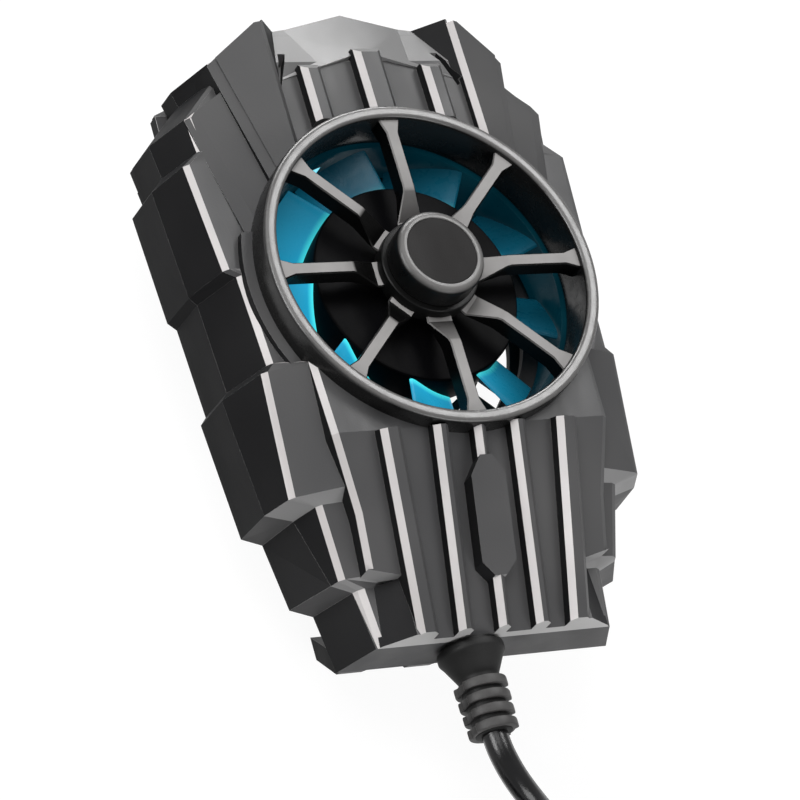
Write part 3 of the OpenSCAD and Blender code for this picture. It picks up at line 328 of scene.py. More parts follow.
# The tops' finish is the plastic's own shade; the edge, facet and end finishes are paler as painted
# highlights, and the side finish is near black as painted shade.
shell_top = satin("shell_satin_black", (0.06, 0.06, 0.062), (0.09, 0.089, 0.09), 0.42, 0.12)
shell_painted_edge = satin("shell_highlight_painted_on_edge", (0.5, 0.475, 0.47), (0.62, 0.59, 0.585), 0.36, 0.35)
shell_painted_wall = satin("shell_shade_painted_on_side", (0.014, 0.014, 0.015), (0.024, 0.024, 0.025), 0.5, 0.03)
shell_painted_facet = satin("shell_highlight_painted_on_facet", (0.2, 0.2, 0.202), (0.26, 0.258, 0.258), 0.36, 0.12)
shell_painted_end = satin("shell_highlight_painted_on_end", (0.34, 0.338, 0.336), (0.5, 0.496, 0.494), 0.38, 0.2)
moulded("front_shell", 0.14 * mm,
        [shell_top, shell_painted_edge, shell_painted_wall, shell_painted_facet, shell_painted_end])


# Guard: a round rim and eight bent spokes in one glossy dark moulding, pressed into the shell.
# The rim is rounded on top; each spoke is flat to its knee and then falls to the hub.
fan_axis = Vector((0, 3.15, 0))
rim_top = 30.0
crease_angle = radians(32)


def rounded(outline, radius, steps=3):
    """A closed outline of pairs, with each corner eased by a short curve."""
    eased_line = []
    for i, corner in enumerate(outline):
        here = Vector(corner)
        back, ahead = Vector(outline[i - 1]) - here, Vector(outline[(i + 1) % len(outline)]) - here
        reach = min(radius, back.length * 0.45, ahead.length * 0.45)
        start, end = here + back.normalized() * reach, here + ahead.normalized() * reach
        for k in range(steps + 1):
            t = k / steps
            eased_line.append(start * (1 - t) ** 2 + here * 2 * t * (1 - t) + end * t * t)
    return eased_line


def skinned(name, loops, closed=False):
    """A closed skin through loops of points in millimetres, with capped ends or as a ring."""
    skin = bmesh.new()
    rows = [[skin.verts.new(point * mm) for point in loop] for loop in loops]
    count = len(rows[0])
    for i in range(len(rows) if closed else len(rows) - 1):
        row, following = rows[i], rows[(i + 1) % len(rows)]
        for j in range(count):
            k = (j + 1) % count
            skin.faces.new((row[j], row[k], following[k], following[j]))
    if not closed:
        skin.faces.new(rows[0][::-1])
        skin.faces.new(rows[-1])
    bmesh.ops.recalc_face_normals(skin, faces=skin.faces)
    for face in skin.faces:
        face.smooth = True
    mesh = bpy.data.meshes.new(name)
    skin.to_mesh(mesh)
    skin.free()
    mesh.set_sharp_from_angle(angle=crease_angle)
    return mesh


def turned(name, outline, middle, steps=120):
    """A solid of revolution about the upright line through the middle, from radius and height."""
    loops = []
    for i in range(steps):
        around = 2 * pi * i / steps
        loops.append([Vector((p[0] * cos(around), p[0] * sin(around), p[1])) + middle
                      for p in outline])
    return skinned(name, loops, closed=True)


def fitted(name, mesh, node, finish, body="housing"):
    """A finished mesh as a piece that stands for a node, on a body if one is given."""
    piece = bpy.data.objects.new(name, mesh)
    bpy.context.collection.objects.link(piece)
    mesh.materials.clear()
    mesh.materials.append(finish)
    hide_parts(node)
    if body:
        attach(piece, body)
    return piece


def rule_tree(name, sizes):
    """An empty Geometry Nodes tree with a geometry input and these named sizes."""
    tree = bpy.data.node_groups.new(name, "GeometryNodeTree")
    tree.interface.new_socket("Geometry", in_out="INPUT", socket_type="NodeSocketGeometry")
    kinds = {int: "NodeSocketInt", float: "NodeSocketFloat"}
    for label, value in sizes.items():
        kind = kinds.get(type(value), "NodeSocketVector")
        tree.interface.new_socket(label, in_out="INPUT", socket_type=kind)
    tree.interface.new_socket("Geometry", in_out="OUTPUT", socket_type="NodeSocketGeometry")
    return tree, tree.nodes.new("NodeGroupInput").outputs


def step(tree, kind, settings=None, **inputs):
    """A node of the tree with its inputs linked or set; the names have _ for a space."""
    node = tree.nodes.new(kind)
    for key, value in (settings or {}).items():
        setattr(node, key, value)
    for key, value in inputs.items():
        socket = node.inputs[int(key[1:]) if key[0] == "i" and key[1:].isdigit()
                             else key.replace("_", " ")]
        if isinstance(value, bpy.types.NodeSocket):
            tree.links.new(value, socket)
        else:
            socket.default_value = value
    return node


def ends_in(tree, shape, finish):
    """Close a tree: its shape is made real and given its finish."""
    real = step(tree, "GeometryNodeRealizeInstances", Geometry=shape)
    done = step(tree, "GeometryNodeSetMaterial", Geometry=real.outputs[0], Material=finish)
    tree.links.new(done.outputs[0], tree.nodes.new("NodeGroupOutput").inputs[0])


def grown(name, tree, sizes, mesh=None):
    """The plain mesh that a tree makes from its sizes, and from a first mesh if it takes one."""
    seed = bpy.data.objects.new(name, mesh or bpy.data.meshes.new(name))
    bpy.context.collection.objects.link(seed)
    rule = seed.modifiers.new("rule", "NODES")
    rule.node_group = tree
    for socket in tree.interface.items_tree:
        if socket.in_out == "INPUT" and socket.name in sizes:
            rule[socket.identifier] = sizes[socket.name]
    result = bpy.data.meshes.new_from_object(
        seed.evaluated_get(bpy.context.evaluated_depsgraph_get()))
    seed.modifiers.remove(rule)
    bpy.data.objects.remove(seed)
    result.name = name
    for face in result.polygons:
        face.use_smooth = True
    result.set_sharp_from_angle(angle=crease_angle)
    return result


def copies(finish):
    """A tree that sets copies of one mesh in a ring or a row, each smaller than the last."""
    tree, given = rule_tree("set of copies", {"Count": 1, "Middle": (0, 0, 0), "Step": (0, 0, 0),
                                              "First turn": 0.0, "Turn": 0.0, "Shrink": 0.0})
    index = tree.nodes.new("GeometryNodeInputIndex").outputs[0]
    along = step(tree, "ShaderNodeVectorMath", {"operation": "SCALE"}, i0=given["Step"],
                 Scale=index)
    place = step(tree, "ShaderNodeVectorMath", i0=along.outputs[0], i1=given["Middle"])
    turn = step(tree, "ShaderNodeMath", {"operation": "MULTIPLY_ADD"}, i0=index, i1=given["Turn"],
                i2=given["First turn"])
    turned_by = step(tree, "ShaderNodeCombineXYZ", Z=turn.outputs[0])
    smaller = step(tree, "ShaderNodeMath", {"operation": "MULTIPLY"}, i0=index, i1=given["Shrink"])
    size = step(tree, "ShaderNodeMath", {"operation": "SUBTRACT"}, i0=1.0, i1=smaller.outputs[0])
    points = step(tree, "GeometryNodePoints", Count=given["Count"], Position=place.outputs[0])
    placed = step(tree, "GeometryNodeInstanceOnPoints", Points=points.outputs[0],
                  Instance=given["Geometry"], Rotation=turned_by.outputs[0], Scale=size.outputs[0])
    ends_in(tree, placed.outputs[0], finish)
    return tree


def gloss_with_painted_light(name, wall, top, roughness, gloss, start=0.35, end=0.95, lean=0.0):
    """Gloss plastic with painted light: pale where it faces up as a painted highlight and black
    elsewhere as painted shade; a lean moves the highlight to faces that lean left.
    """
    material = bpy.data.materials.new(name)
    tree, shader, place = nodes_of(material)
    apart = tree.nodes.new("ShaderNodeSeparateXYZ")
    facing = tree.nodes.new("ShaderNodeTexCoord").outputs["Normal"]
    tree.links.new(facing, apart.inputs["Vector"])
    facing_up = step(tree, "ShaderNodeMath", {"operation": "MULTIPLY_ADD"}, i0=apart.outputs["X"],
                     i1=-lean, i2=apart.outputs["Z"])
    up = between(tree, facing_up.outputs[0], 0.0, 0.8, start, end)
    mottle = between(tree, noise(tree, place, 300.0), 0.0, 0.08)
    total = step(tree, "ShaderNodeMath", i0=up, i1=mottle)
    tree.links.new(shades(tree, total.outputs[0], (0.1, wall), (0.88, top)),
                   shader.inputs["Base Color"])
    tree.links.new(between(tree, noise(tree, place, 700.0), roughness - 0.05, roughness + 0.07),
                   shader.inputs["Roughness"])
    shader.inputs["Specular IOR Level"].default_value = gloss
    grain(tree, shader, place, 4800.0, 0.000012)
    return material


# The guard's rim and spokes carry a painted highlight on their upward faces and painted shade on
# their sides.
rim_gloss = gloss_with_painted_light("guard_rim_gloss", (0.008, 0.008, 0.008), (0.13, 0.127, 0.125), 0.24, 0.27)
spoke_gloss = gloss_with_painted_light("guard_spoke_gloss", (0.003, 0.003, 0.003), (0.36, 0.35, 0.345), 0.3, 0.035,
                        0.82, 0.96, 0.3)
rim_outline = rounded([(20.3, 23.5), (22.0, 23.5), (22.0, rim_top), (20.3, rim_top)], 0.62, 5)
fitted("guard_rim", turned("guard_rim", rim_outline, fan_axis, 180), "fan_guard",
       rim_gloss)

spoke_count = 8
spoke_lines = [  # distance from the axis, half width, top below the rim, both in millimetres
    (5.3, 1.76, 2.75), (6.9, 1.74, 2.95), (10.2, 0.86, 1.0), (10.8, 0.8, 0.8), (14.8, 0.8, 0.8),
    (18.5, 0.82, 0.8), (20.5, 1.5, 0.8)]
spoke_foot = 3.2
spoke_bevel = 0.16
spoke_loops = []
for out, half, drop in spoke_lines:
    top = rim_top - drop
    spoke_loops.append([Vector((out, across, height)) for across, height in [
        (-half, rim_top - spoke_foot), (half, rim_top - spoke_foot), (half, top - spoke_bevel),
        (half - spoke_bevel, top), (spoke_bevel - half, top), (-half, top - spoke_bevel)]])
spokes = grown("guard_spokes", copies(spoke_gloss), {
    "Count": spoke_count, "Middle": fan_axis * mm, "First turn": pi / 2,
    "Turn": 2 * pi / spoke_count}, skinned("spoke", spoke_loops))
fitted("guard_spokes", spokes, "fan_guard", spoke_gloss)
skirt = turned("guard_skirt", rounded([(1.0, 26.0), (6.4, 26.0), (6.4, 28.6), (1.0, 28.6)], 0.3),
               fan_axis)
skirt_black = satin("guard_skirt_black", (0.005, 0.005, 0.005), (0.009, 0.009, 0.009), 0.35, 0.06)
fitted("guard_skirt", skirt, "fan_guard", skirt_black)


# Hub cap: a turned-looking ring with a rounded edge, glued on the guard's middle, and a bare matt
# disc set into it.
# The cap's ring carries a painted highlight on its upward faces and painted shade on its sides.
cap_gloss = gloss_with_painted_light("cap_gloss", (0.006, 0.006, 0.006), (0.17, 0.166, 0.163), 0.3, 0.15)
moulded("hub_cap", 0.12 * mm, [cap_gloss])
disc_matt = satin("disc_matt", (0.018, 0.017, 0.017), (0.026, 0.024, 0.024), 0.5, 0.04)
moulded("hub_disc", 0.05 * mm, [disc_matt])


# Fan: hub and nine pitched blades in one translucent moulding. The blades carry a painted glow that
# stands for the lamps' cyan light, brightest at their roots and weaker to the upper right; the hub
# is blackened against it.
hub_radius = 13.5
blade_radius = 19.2
blade_count = 9
blade_first = radians(27)
blade_low, blade_high = 18.4, 24.0
blade_pitch = radians(33)
blade_thick = 0.9
bright_until, dark_from = -14 * mm, 8 * mm


def blade_loop(out):
    """Section of a blade at one distance from the axis, its front edge to the left."""
    share = (out - hub_radius) / (blade_radius - hub_radius)
    rise = (blade_high - blade_low) / 2
    reach = rise / tan(blade_pitch) * (0.9 + 0.1 * share)
    across = [-1, -0.97, -0.88, -0.66, -0.33, 0, 0.33, 0.66, 0.88, 0.97, 1]
    sides = []
    for side, order in ((1, across), (-1, across[-2:0:-1])):
        for t in order:
            thick = side * blade_thick / 2 * (1 - abs(t) ** 9) ** 0.5
            angle = (t * reach + thick * sin(blade_pitch)) / out
            height = (blade_low + blade_high) / 2 - t * rise * 0.96 + thick * cos(blade_pitch)
            sides.append(Vector((out * cos(angle), out * sin(angle), height)))
    return sides


def blades_with_painted_glow(name):
    """Cyan plastic with a painted glow for the lamps' light, brightest at the blades' roots, weaker
    outwards and less across the fan.
    """
    material = bpy.data.materials.new(name)
    tree, shader, place = nodes_of(material)
    apart = step(tree, "ShaderNodeVectorMath", {"operation": "SUBTRACT"}, i0=place,
                 i1=tuple(fan_axis * mm))
    flat = step(tree, "ShaderNodeVectorMath", {"operation": "MULTIPLY"}, i0=apart.outputs[0],
                i1=(1, 1, 0))
    away = step(tree, "ShaderNodeVectorMath", {"operation": "LENGTH"}, i0=flat.outputs[0])
    out = between(tree, away.outputs["Value"], 0.0, 1.0, hub_radius * mm, blade_radius * mm)
    tree.links.new(shades(tree, out, (0.0, (0.006, 0.15, 0.22)), (0.2, (0.003, 0.08, 0.13)),
                          (1.0, (0.002, 0.05, 0.08))), shader.inputs["Base Color"])
    glow = shades(tree, out, (0.0, (0.08, 0.95, 1.0)), (0.14, (0.018, 0.36, 0.6)),
                  (1.0, (0.006, 0.17, 0.28)))
    sides = step(tree, "ShaderNodeSeparateXYZ", Vector=apart.outputs[0]).outputs
    across = step(tree, "ShaderNodeMath", {"operation": "MULTIPLY_ADD"}, i0=sides["Y"], i1=0.8,
                  i2=sides["X"])
    falling = between(tree, across.outputs[0], 1.1, 0.06, bright_until, dark_from)
    painted_glow = step(tree, "ShaderNodeVectorMath", {"operation": "SCALE"}, i0=glow, Scale=falling)
    tree.links.new(painted_glow.outputs[0], shader.inputs["Emission Color"])
    shader.inputs["Emission Strength"].default_value = 0.85
    shader.inputs["Specular IOR Level"].default_value = 0.15
    tree.links.new(between(tree, noise(tree, place, 900.0), 0.22, 0.38),
                   shader.inputs["Roughness"])
    grain(tree, shader, place, 3200.0, 0.00002)
    return material


blade_cyan = blades_with_painted_glow("blade_painted_glow_cyan")
blade_rows = [hub_radius - 0.4, hub_radius + 0.8, hub_radius + 2.2, blade_radius - 2,
              blade_radius - 0.5, blade_radius]
blades = grown("fan_blades", copies(blade_cyan), {
    "Count": blade_count, "Middle": fan_axis * mm, "First turn": blade_first,
    "Turn": 2 * pi / blade_count}, skinned("blade", [blade_loop(out) for out in blade_rows]))
fitted("fan_blades", blades, "fan_rotor", blade_cyan, "rotor")
hub_black = satin("hub_blackened", (0.002, 0.002, 0.0025), (0.004, 0.004, 0.0045), 0.45, 0.02)
hub_outline = rounded([
    (1.0, 22.2), (2.4, 22.2), (2.4, 23.4), (12.3, 23.4), (12.3, blade_low), (hub_radius, blade_low),
    (hub_radius, 24.4), (1.0, 24.4)], 0.5)
fitted("fan_hub", turned("fan_hub", hub_outline, fan_axis), "fan_rotor",
       hub_black, "rotor")


# Fan frame: the round duct, its struts and the motor's seat, moulded in dark smoked plastic. Its
# teal tint and faint glow are painted light that stands for the lamps set into its wall.
def smoked_with_painted_glow(name):
    """Smoked plastic with a painted teal glow in clouds, for the lamps' light."""
    material = bpy.data.materials.new(name)
    tree, shader, place = nodes_of(material)
    cloud = noise(tree, place, 120.0, 2.0)
    tree.links.new(shades(tree, cloud, (0.3, (0.001, 0.012, 0.017)), (0.7, (0.002, 0.022, 0.03))),
                   shader.inputs["Base Color"])
    tree.links.new(shades(tree, cloud, (0.3, (0.0, 0.012, 0.02)), (0.7, (0.0, 0.022, 0.034))),
                   shader.inputs["Emission Color"])
    shader.inputs["Emission Strength"].default_value = 0.6
    tree.links.new(between(tree, noise(tree, place, 700.0), 0.25, 0.4), shader.inputs["Roughness"])
    shader.inputs["Specular IOR Level"].default_value = 0.05
    grain(tree, shader, place, 3600.0, 0.00002)
    return material


moulded("fan_frame", 0.12 * mm, [smoked_with_painted_glow("duct_smoked_painted_teal_glow")])


# Rear cover with the two fixed claws, back plate and sliding jaw: the same plastic as the front
# shell, a little duller where the phone and the hand rub it. As on the shell, their side walls
# carry painted shade and their edges that face the left or the back a painted highlight.
cover_top = satin("cover_satin_black", (0.05, 0.05, 0.052), (0.075, 0.074, 0.075), 0.46, 0.12)
cover_painted_edge = satin("cover_highlight_painted_on_edge", (0.22, 0.215, 0.215), (0.32, 0.31, 0.31), 0.34, 0.4)
cover_painted_wall = satin("cover_shade_painted_on_side", (0.02, 0.02, 0.021), (0.032, 0.032, 0.033), 0.5, 0.05)
for node, body, edge in [("rear_cover", "housing", 0.16), ("back_plate", "housing", 0.12),
                         ("jaw_slider", "jaw", 0.16)]:
    moulded(node, edge * mm, [cover_top, cover_painted_edge, cover_painted_wall], body)


# Strain relief: a flange held in the wall, a collar and a cone, and four ribs with a notch on each
# side, moulded in soft black rubber on the lead.
relief_place = Vector((-2.7, -41.45, 16.1))
relief_end = 11.3
cone_end = 4.2
rib_count = 4
rib_pitch = (relief_end - cone_end) / rib_count
rib_radius = 3.23
rib_foot = 1.9
rib_shrink = 0.0186
groove_width = 0.65
notch_depth = 0.42
round_steps = 96
along_lead = Matrix.Translation(relief_place * mm) @ Matrix.Rotation(pi / 2, 4, "X")

relief_dark = rubber("relief_rubber", (0.008, 0.008, 0.008), (0.016, 0.016, 0.016), 0.5)
# The ribs get a paler rubber than the core: a painted highlight on the one black rubber.
relief_painted_rib = rubber("relief_rib_painted_highlight", (0.045, 0.044, 0.044), (0.09, 0.088, 0.087), 0.42)
core_outline = rounded([
    (1.0, -4.2), (3.5, -4.2), (3.5, -2.2), (2.6, -2.2), (2.6, 0), (3.5, 0), (3.5, 0.5), (4.1, 0.5),
    (4.1, 1.4), (3.7, 2.0), (2.5, cone_end + 0.1), (2.3, relief_end), (1.0, relief_end)], 0.15, 2)
core_mesh = turned("relief_core", core_outline, Vector(), round_steps)
core_mesh.transform(along_lead)
relief_core = fitted("relief_core", core_mesh, "strain_relief", relief_dark)

rib_rings = []
for i in range(round_steps):
    around = 2 * pi * i / round_steps
    notch = notch_depth * max(0.0, min(1.0, (abs(cos(around)) - 0.93) / 0.03))
    rib = rounded([(rib_foot, groove_width), (rib_radius - notch, groove_width),
                   (rib_radius - notch, rib_pitch), (rib_foot, rib_pitch)], 0.18, 2)
    rib_rings.append([Vector((p[0] * cos(around), -p[1], p[0] * sin(around))) for p in rib])
ribs = grown("relief_ribs", copies(relief_painted_rib), {
    "Count": rib_count, "Middle": (relief_place - Vector((0, cone_end, 0))) * mm,
    "Step": Vector((0, -rib_pitch, 0)) * mm, "Shrink": rib_shrink},
    skinned("rib", rib_rings, closed=True))
relief_ribs = fitted("relief_ribs", ribs, "strain_relief", relief_painted_rib)


# Soft parts on the back and the claws: silicone pads, glued in, that keep the phone from sliding.
pad_rubber = rubber("pad_silicone", (0.012, 0.012, 0.012), (0.025, 0.025, 0.025), 0.62)
for node, body in [("phone_pads", "housing"), ("lower_claw_grips", "housing"),
                   ("upper_claw_grips", "jaw")]:
    moulded(node, 0.18 * mm, [pad_rubber], body)


# Tie round the coil and the plug at the lead's end: a soft band, a moulded grip, and a folded
# steel shell round a plastic tongue.
tie_rubber = rubber("tie_rubber", (0.012, 0.012, 0.013), (0.022, 0.022, 0.022), 0.5)
coil_tie = moulded("coil_tie", 0.12 * mm, [tie_rubber])
plug_plastic = satin("plug_plastic", (0.012, 0.012, 0.013), (0.02, 0.02, 0.021), 0.4)
plug_edge = satin("plug_plastic_edge", (0.03, 0.03, 0.03), (0.05, 0.05, 0.05), 0.35)
plug_body = moulded("plug_body", 0.4 * mm, [plug_plastic, plug_edge])


def metal(name, dark, pale, roughness, stretch):
    """Bare metal with fine drawn marks along one way."""
    material = bpy.data.materials.new(name)
    tree, shader, place = nodes_of(material)
    marks = noise(tree, place, 900.0, 4.0, stretch)
    tree.links.new(shades(tree, marks, (0.3, dark), (0.7, pale)), shader.inputs["Base Color"])
    tree.links.new(between(tree, marks, roughness - 0.08, roughness + 0.1),
                   shader.inputs["Roughness"])
    shader.inputs["Metallic"].default_value = 1.0
    return material


plug_metal = metal("plug_steel", (0.5, 0.5, 0.5), (0.66, 0.66, 0.65), 0.24, (1, 0.1, 1))
plug_shell = moulded("plug_shell", 0.05 * mm, [plug_metal])
tongue_plastic = satin("plug_tongue", (0.6, 0.6, 0.6), (0.7, 0.7, 0.7), 0.4)
plug_tongue = moulded("plug_tongue", 0.08 * mm, [tongue_plastic])


# Screws: pan heads with a cross recess, plated steel. Four hold the fan in the front shell, four
# the rear cover from behind and three the back plate.
steel = metal("screw_steel", (0.42, 0.42, 0.43), (0.6, 0.6, 0.6), 0.3, (1, 1, 0.1))
shank_radius = 0.8
head_radius = 1.5
thread_pitch = 0.6
head_sides = 32


def pan_screw(length, head_height):
    """One screw in millimetres: its head hangs below z = 0 and its shank rises."""
    skin = bmesh.new()
    outline = [(shank_radius * 0.5, length)]
    for k in range(int(length / thread_pitch)):
        top = length - 0.2 - k * thread_pitch
        outline += [(shank_radius - 0.15, top), (shank_radius, top - thread_pitch / 2)]
    outline += [(shank_radius - 0.15, 0), (head_radius, 0), (head_radius, -0.5 * head_height),
                (0.93 * head_radius, -0.85 * head_height), (0.78 * head_radius, -head_height)]
    turns = [2 * pi * k / head_sides for k in range(head_sides)]
    rings = [[skin.verts.new(Vector((r * cos(turn), r * sin(turn), z)) * mm) for turn in turns]
             for r, z in outline]
    skin.faces.new(rings[0])
    for low, high in zip(rings, rings[1:]):
        for k in range(head_sides):
            skin.faces.new((low[k], low[k - 1], high[k - 1], high[k]))
    arm, half = 0.58 * head_radius, 0.14 * head_radius
    quarter = [(arm, -half), (arm, half), (half, half)]
    cross = []
    for turn in ((1, 0), (0, 1), (-1, 0), (0, -1)):
        cross += [(x * turn[0] - y * turn[1], x * turn[1] + y * turn[0]) for x, y in quarter]
    mouth = [skin.verts.new(Vector((x, y, -head_height)) * mm) for x, y in cross]
    floor = [skin.verts.new(Vector((x * 0.8, y * 0.8, -0.5 * head_height)) * mm)
             for x, y in cross]
    for k in range(len(cross)):
        skin.faces.new((mouth[k], mouth[k - 1], floor[k - 1], floor[k]))
    skin.faces.new(floor)
    mouth_edges = [skin.edges.get((mouth[k], mouth[k - 1])) for k in range(len(cross))]
    rim_edges = [skin.edges.get((rings[-1][k], rings[-1][k - 1])) for k in range(head_sides)]
    bmesh.ops.triangle_fill(skin, edges=mouth_edges + rim_edges, use_beauty=True)
    bmesh.ops.recalc_face_normals(skin, faces=skin.faces)
    mesh = bpy.data.meshes.new("pan_screw")
    skin.to_mesh(mesh)
    skin.free()
    return mesh


def set_on_spots(finish):
    """A tree that sets one fastener on each point that it is given."""
    tree, given = rule_tree("fasteners on spots", {})
    tree.interface.new_socket("Fastener", in_out="INPUT", socket_type="NodeSocketObject")
    one = step(tree, "GeometryNodeObjectInfo", Object=given["Fastener"])
    placed = step(tree, "GeometryNodeInstanceOnPoints", Points=given["Geometry"],
                  Instance=one.outputs["Geometry"])
    ends_in(tree, placed.outputs[0], finish)
    return tree


screw_tree = set_on_spots(steel)
for node, length, head_height, spots in [
        ("fan_screws", 3.4, 0.8, [(11.6, 23.24, 19.9), (-11.6, 23.24, 19.9),
                                  (-11.6, -16.94, 19.9), (11.6, -16.94, 19.9)]),
        ("case_screws", 5.8, 0.6, [(16.59, 19.74, 15.6), (-16.59, 19.74, 15.6),
                                   (12, -27.85, 15.6), (-12, -27.85, 15.6)]),
        ("plate_screws", 2.6, 0.45, [(16.0, -16.05, 12.3), (-16.0, -16.05, 12.3),
                                     (0, 22.85, 12.3)])]:
    fastener = bpy.data.objects.new("fastener", pan_screw(length, head_height))
    spot_mesh = bpy.data.meshes.new(node + "_spots")
    spot_mesh.from_pydata([Vector(spot) * mm for spot in spots], [], [])
    fitted(node + "_set", grown(node + "_set", screw_tree, {"Fastener": fastener}, spot_mesh), node,
           steel)
    bpy.data.objects.remove(fastener)


# Return springs of the jaw: close-wound steel wire in the two channels. One end stays in the cover
# and the other follows the jaw's arm; here each is wound once between fixed ends and set on no
# body.
spring_steel = metal("spring_wire", (0.5, 0.5, 0.51), (0.68, 0.68, 0.68), 0.22, (1, 8, 1))
spring_start, spring_end = -30.05, -14.0
spring_aside = 19.5
spring_height = 13.9
curl_count = 15.0
curl_radius = 0.72
wire_radius = 0.225


def spring_rule(finish):
    """A tree that winds a wire into even curls along Y."""
    tree, given = rule_tree("spring", {"Curls": 1.0, "Curl radius": 0.0, "Wire radius": 0.0,
                                       "Length": 0.0, "Foot": (0, 0, 0)})
    curls = step(tree, "GeometryNodeCurveSpiral", Resolution=20, Rotations=given["Curls"],
                 Start_Radius=given["Curl radius"], End_Radius=given["Curl radius"],
                 Height=given["Length"])
    wire = step(tree, "GeometryNodeCurvePrimitiveCircle", Resolution=8,
                Radius=given["Wire radius"])
    wound = step(tree, "GeometryNodeCurveToMesh", Curve=curls.outputs[0],
                 Profile_Curve=wire.outputs[0], Fill_Caps=True)
    lying = step(tree, "GeometryNodeTransform", Geometry=wound.outputs[0],
                 Translation=given["Foot"], Rotation=(-pi / 2, 0, 0))
    ends_in(tree, lying.outputs[0], finish)
    return tree


spring_tree = spring_rule(spring_steel)
for side, node in ((-1, "spring_left"), (1, "spring_right")):
    foot = Vector((spring_aside * side, spring_start + wire_radius, spring_height))
    coil = grown(node + "_wire", spring_tree, {
        "Curls": curl_count, "Curl radius": curl_radius * mm, "Wire radius": wire_radius * mm,
        "Length": (spring_end - spring_start - 2 * wire_radius) * mm, "Foot": foot * mm})
    spring = fitted(node + "_wire", coil, node, spring_steel, None)
    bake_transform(spring)


# Inner lead: two thin insulated wires, red and black, from the strain relief to the motor's board.
wire_route = [(-37.25, 16.1), (-36.25, 16.1), (-34.65, 16.38), (-31.85, 16.38), (-19.0, 16.38),
              (-6.25, 16.38), (-5.35, 16.48), (-4.9, 16.88), (-4.85, 17.28), (-4.85, 17.8)]
wires_apart = 0.8
skin_radius = 0.33
for side, colour, dark, pale in ((-1, "red", (0.3, 0.012, 0.01), (0.42, 0.02, 0.016)),
                                 (1, "black", (0.012, 0.012, 0.012), (0.03, 0.03, 0.03))):
    middle = [Vector((relief_place.x + wires_apart / 2 * side, y, z)) for y, z in wire_route]
    loops = []
    for i, point in enumerate(middle):
        ahead = (middle[min(i + 1, len(middle) - 1)] - middle[max(i - 1, 0)]).normalized()
        across = Vector((1, 0, 0))
        loops.append([point + skin_radius * (cos(pi * k / 6) * across + sin(pi * k / 6)
                                             * ahead.cross(across)) for k in range(12)])
    fitted("wire_" + colour, skinned("wire_" + colour, loops), "inner_lead",
           rubber("wire_skin_" + colour, dark, pale, 0.35))


# Motor and lamps: bought-in parts, hidden or half hidden in the case.
inner_finish = {
    "rotor_yoke": metal("yoke_zinc", (0.45, 0.45, 0.46), (0.6, 0.6, 0.6), 0.38, (1, 1, 0.1)),
    "rotor_magnet": satin("magnet_ferrite", (0.03, 0.028, 0.027), (0.05, 0.047, 0.045), 0.6),
    "rotor_shaft": metal("shaft_ground", (0.6, 0.6, 0.6), (0.7, 0.7, 0.7), 0.16, (1, 1, 0.2)),
    "shaft_clip": satin("clip_nylon", (0.7, 0.69, 0.66), (0.8, 0.79, 0.76), 0.45),
    "bearing_sleeve": metal("sleeve_bronze", (0.5, 0.3, 0.12), (0.62, 0.4, 0.18), 0.4, (1, 1, 1)),
    "stator_core": metal("core_laminate", (0.2, 0.2, 0.2), (0.32, 0.32, 0.32), 0.45, (1, 1, 9)),
    "stator_coils": metal("winding_copper", (0.4, 0.13, 0.05), (0.75, 0.3, 0.13), 0.3, (1, 1, 8)),
    "motor_board": satin("board_green", (0.01, 0.05, 0.02), (0.015, 0.08, 0.03), 0.35),
}
for node, finish in inner_finish.items():
    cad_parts[node].data.materials[0] = finish

lamp = bpy.data.materials.new("lamp_cyan")
tree, shader, place = nodes_of(lamp)
tree.links.new(shades(tree, noise(tree, place, 1500.0), (0.3, (0.1, 0.7, 1.0)),
                      (0.7, (0.3, 0.9, 1.0))), shader.inputs["Emission Color"])
shader.inputs["Emission Strength"].default_value = 1.0
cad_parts["led_lamps"].data.materials[0] = lamp


# Studio: a white table, a white surround, a broad key lamp on the upper left, a fill lamp low at
# the lower end and three gloss boxes. The boxes only show as reflections: along the ribs' bevels,
# on the guard and on the roof.
def soft_box(name, towards, distance, width, height, power, gloss_only=True):
    """A lamp that shines at the fan from one direction."""
    data = bpy.data.lights.new(name, "AREA")
    data.shape = "RECTANGLE"
    data.size = width
    data.size_y = height
    data.energy = power
    lamp_object = bpy.data.objects.new(name, data)
    away = Vector(towards).normalized()
    lamp_object.location = Vector((0, 0, 0.02)) + away * distance
    lamp_object.rotation_euler = away.to_track_quat("Z", "Y").to_euler()
    lamp_object.visible_diffuse = not gloss_only
    bpy.context.collection.objects.link(lamp_object)


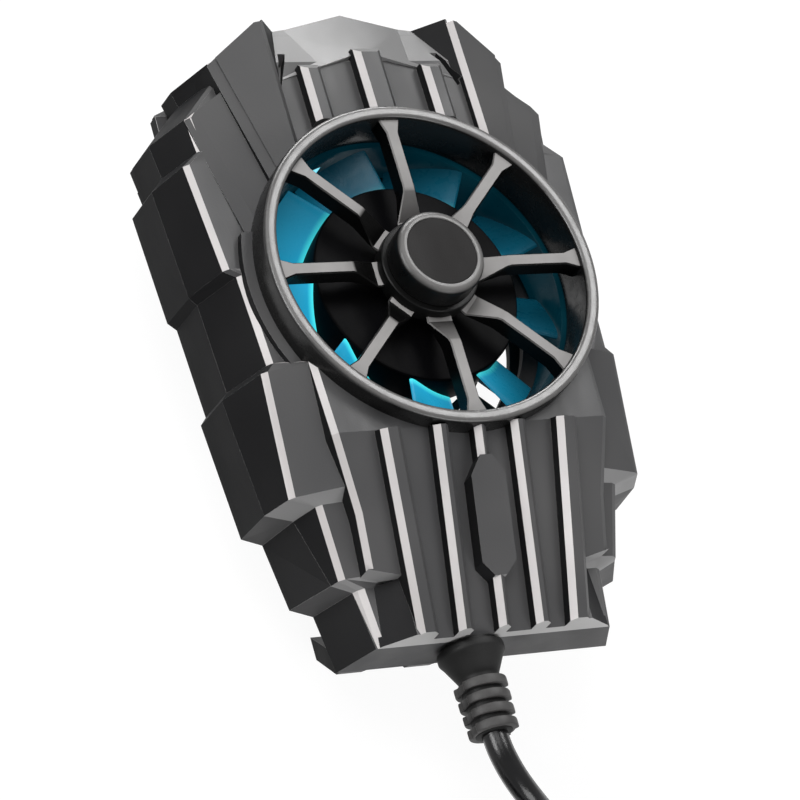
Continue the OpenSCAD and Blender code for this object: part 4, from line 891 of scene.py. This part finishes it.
soft_box("key", (-0.35, 0.4, 0.85), 0.9, 0.7, 0.7, 6.4, False)
soft_box("fill", (0.2, -0.92, 0.34), 0.9, 0.6, 0.4, 5.5, False)
soft_box("bevel_box", (-0.86, 0.17, 0.48), 0.7, 0.5, 0.3, 7.0)
soft_box("top_box", (0.464, 0.395, 0.793), 0.7, 0.3, 0.3, 5.0)
soft_box("roof_box", (0.12, 0.93, 0.33), 0.8, 0.6, 0.25, 10.0)

table = bmesh.new()
bmesh.ops.create_grid(table, x_segments=1, y_segments=1, size=3.0)
table_mesh = bpy.data.meshes.new("table")
table.to_mesh(table_mesh)
table.free()
table_top = bpy.data.objects.new("table", table_mesh)
bpy.context.collection.objects.link(table_top)


def not_lighting(tree):
    """1 for what the camera sees straight, mirrored or through something, else 0."""
    rays = tree.nodes.new("ShaderNodeLightPath").outputs
    mirrored = step(tree, "ShaderNodeMath", {"operation": "MAXIMUM"}, i0=rays["Is Glossy Ray"],
                    i1=rays["Is Transmission Ray"])
    seen = step(tree, "ShaderNodeMath", {"operation": "MAXIMUM"}, i0=rays["Is Camera Ray"],
                i1=mirrored.outputs[0])
    return seen.outputs[0]


white = bpy.data.materials.new("table_white")
tree, shader, place = nodes_of(white)
shader.inputs["Base Color"].default_value = (0.12, 0.12, 0.12, 1)
shader.inputs["Roughness"].default_value = 0.9
shader.inputs["Specular IOR Level"].default_value = 0.1
shader.inputs["Emission Color"].default_value = (1, 1, 1, 1)
tree.links.new(between(tree, not_lighting(tree), 0.0, 0.93, 0.0, 1.0),
               shader.inputs["Emission Strength"])
table_mesh.materials.append(white)

world = bpy.data.worlds.new("surround")
bpy.context.scene.world = world
world.use_nodes = True
tree = world.node_tree
tree.nodes.clear()
output = tree.nodes.new("ShaderNodeOutputWorld")
surround = tree.nodes.new("ShaderNodeBackground")
tree.links.new(between(tree, not_lighting(tree), 0.25, 1.0, 0.0, 1.0), surround.inputs["Strength"])
tree.links.new(surround.outputs["Background"], output.inputs["Surface"])

bpy.context.scene.view_settings.view_transform = "Standard"
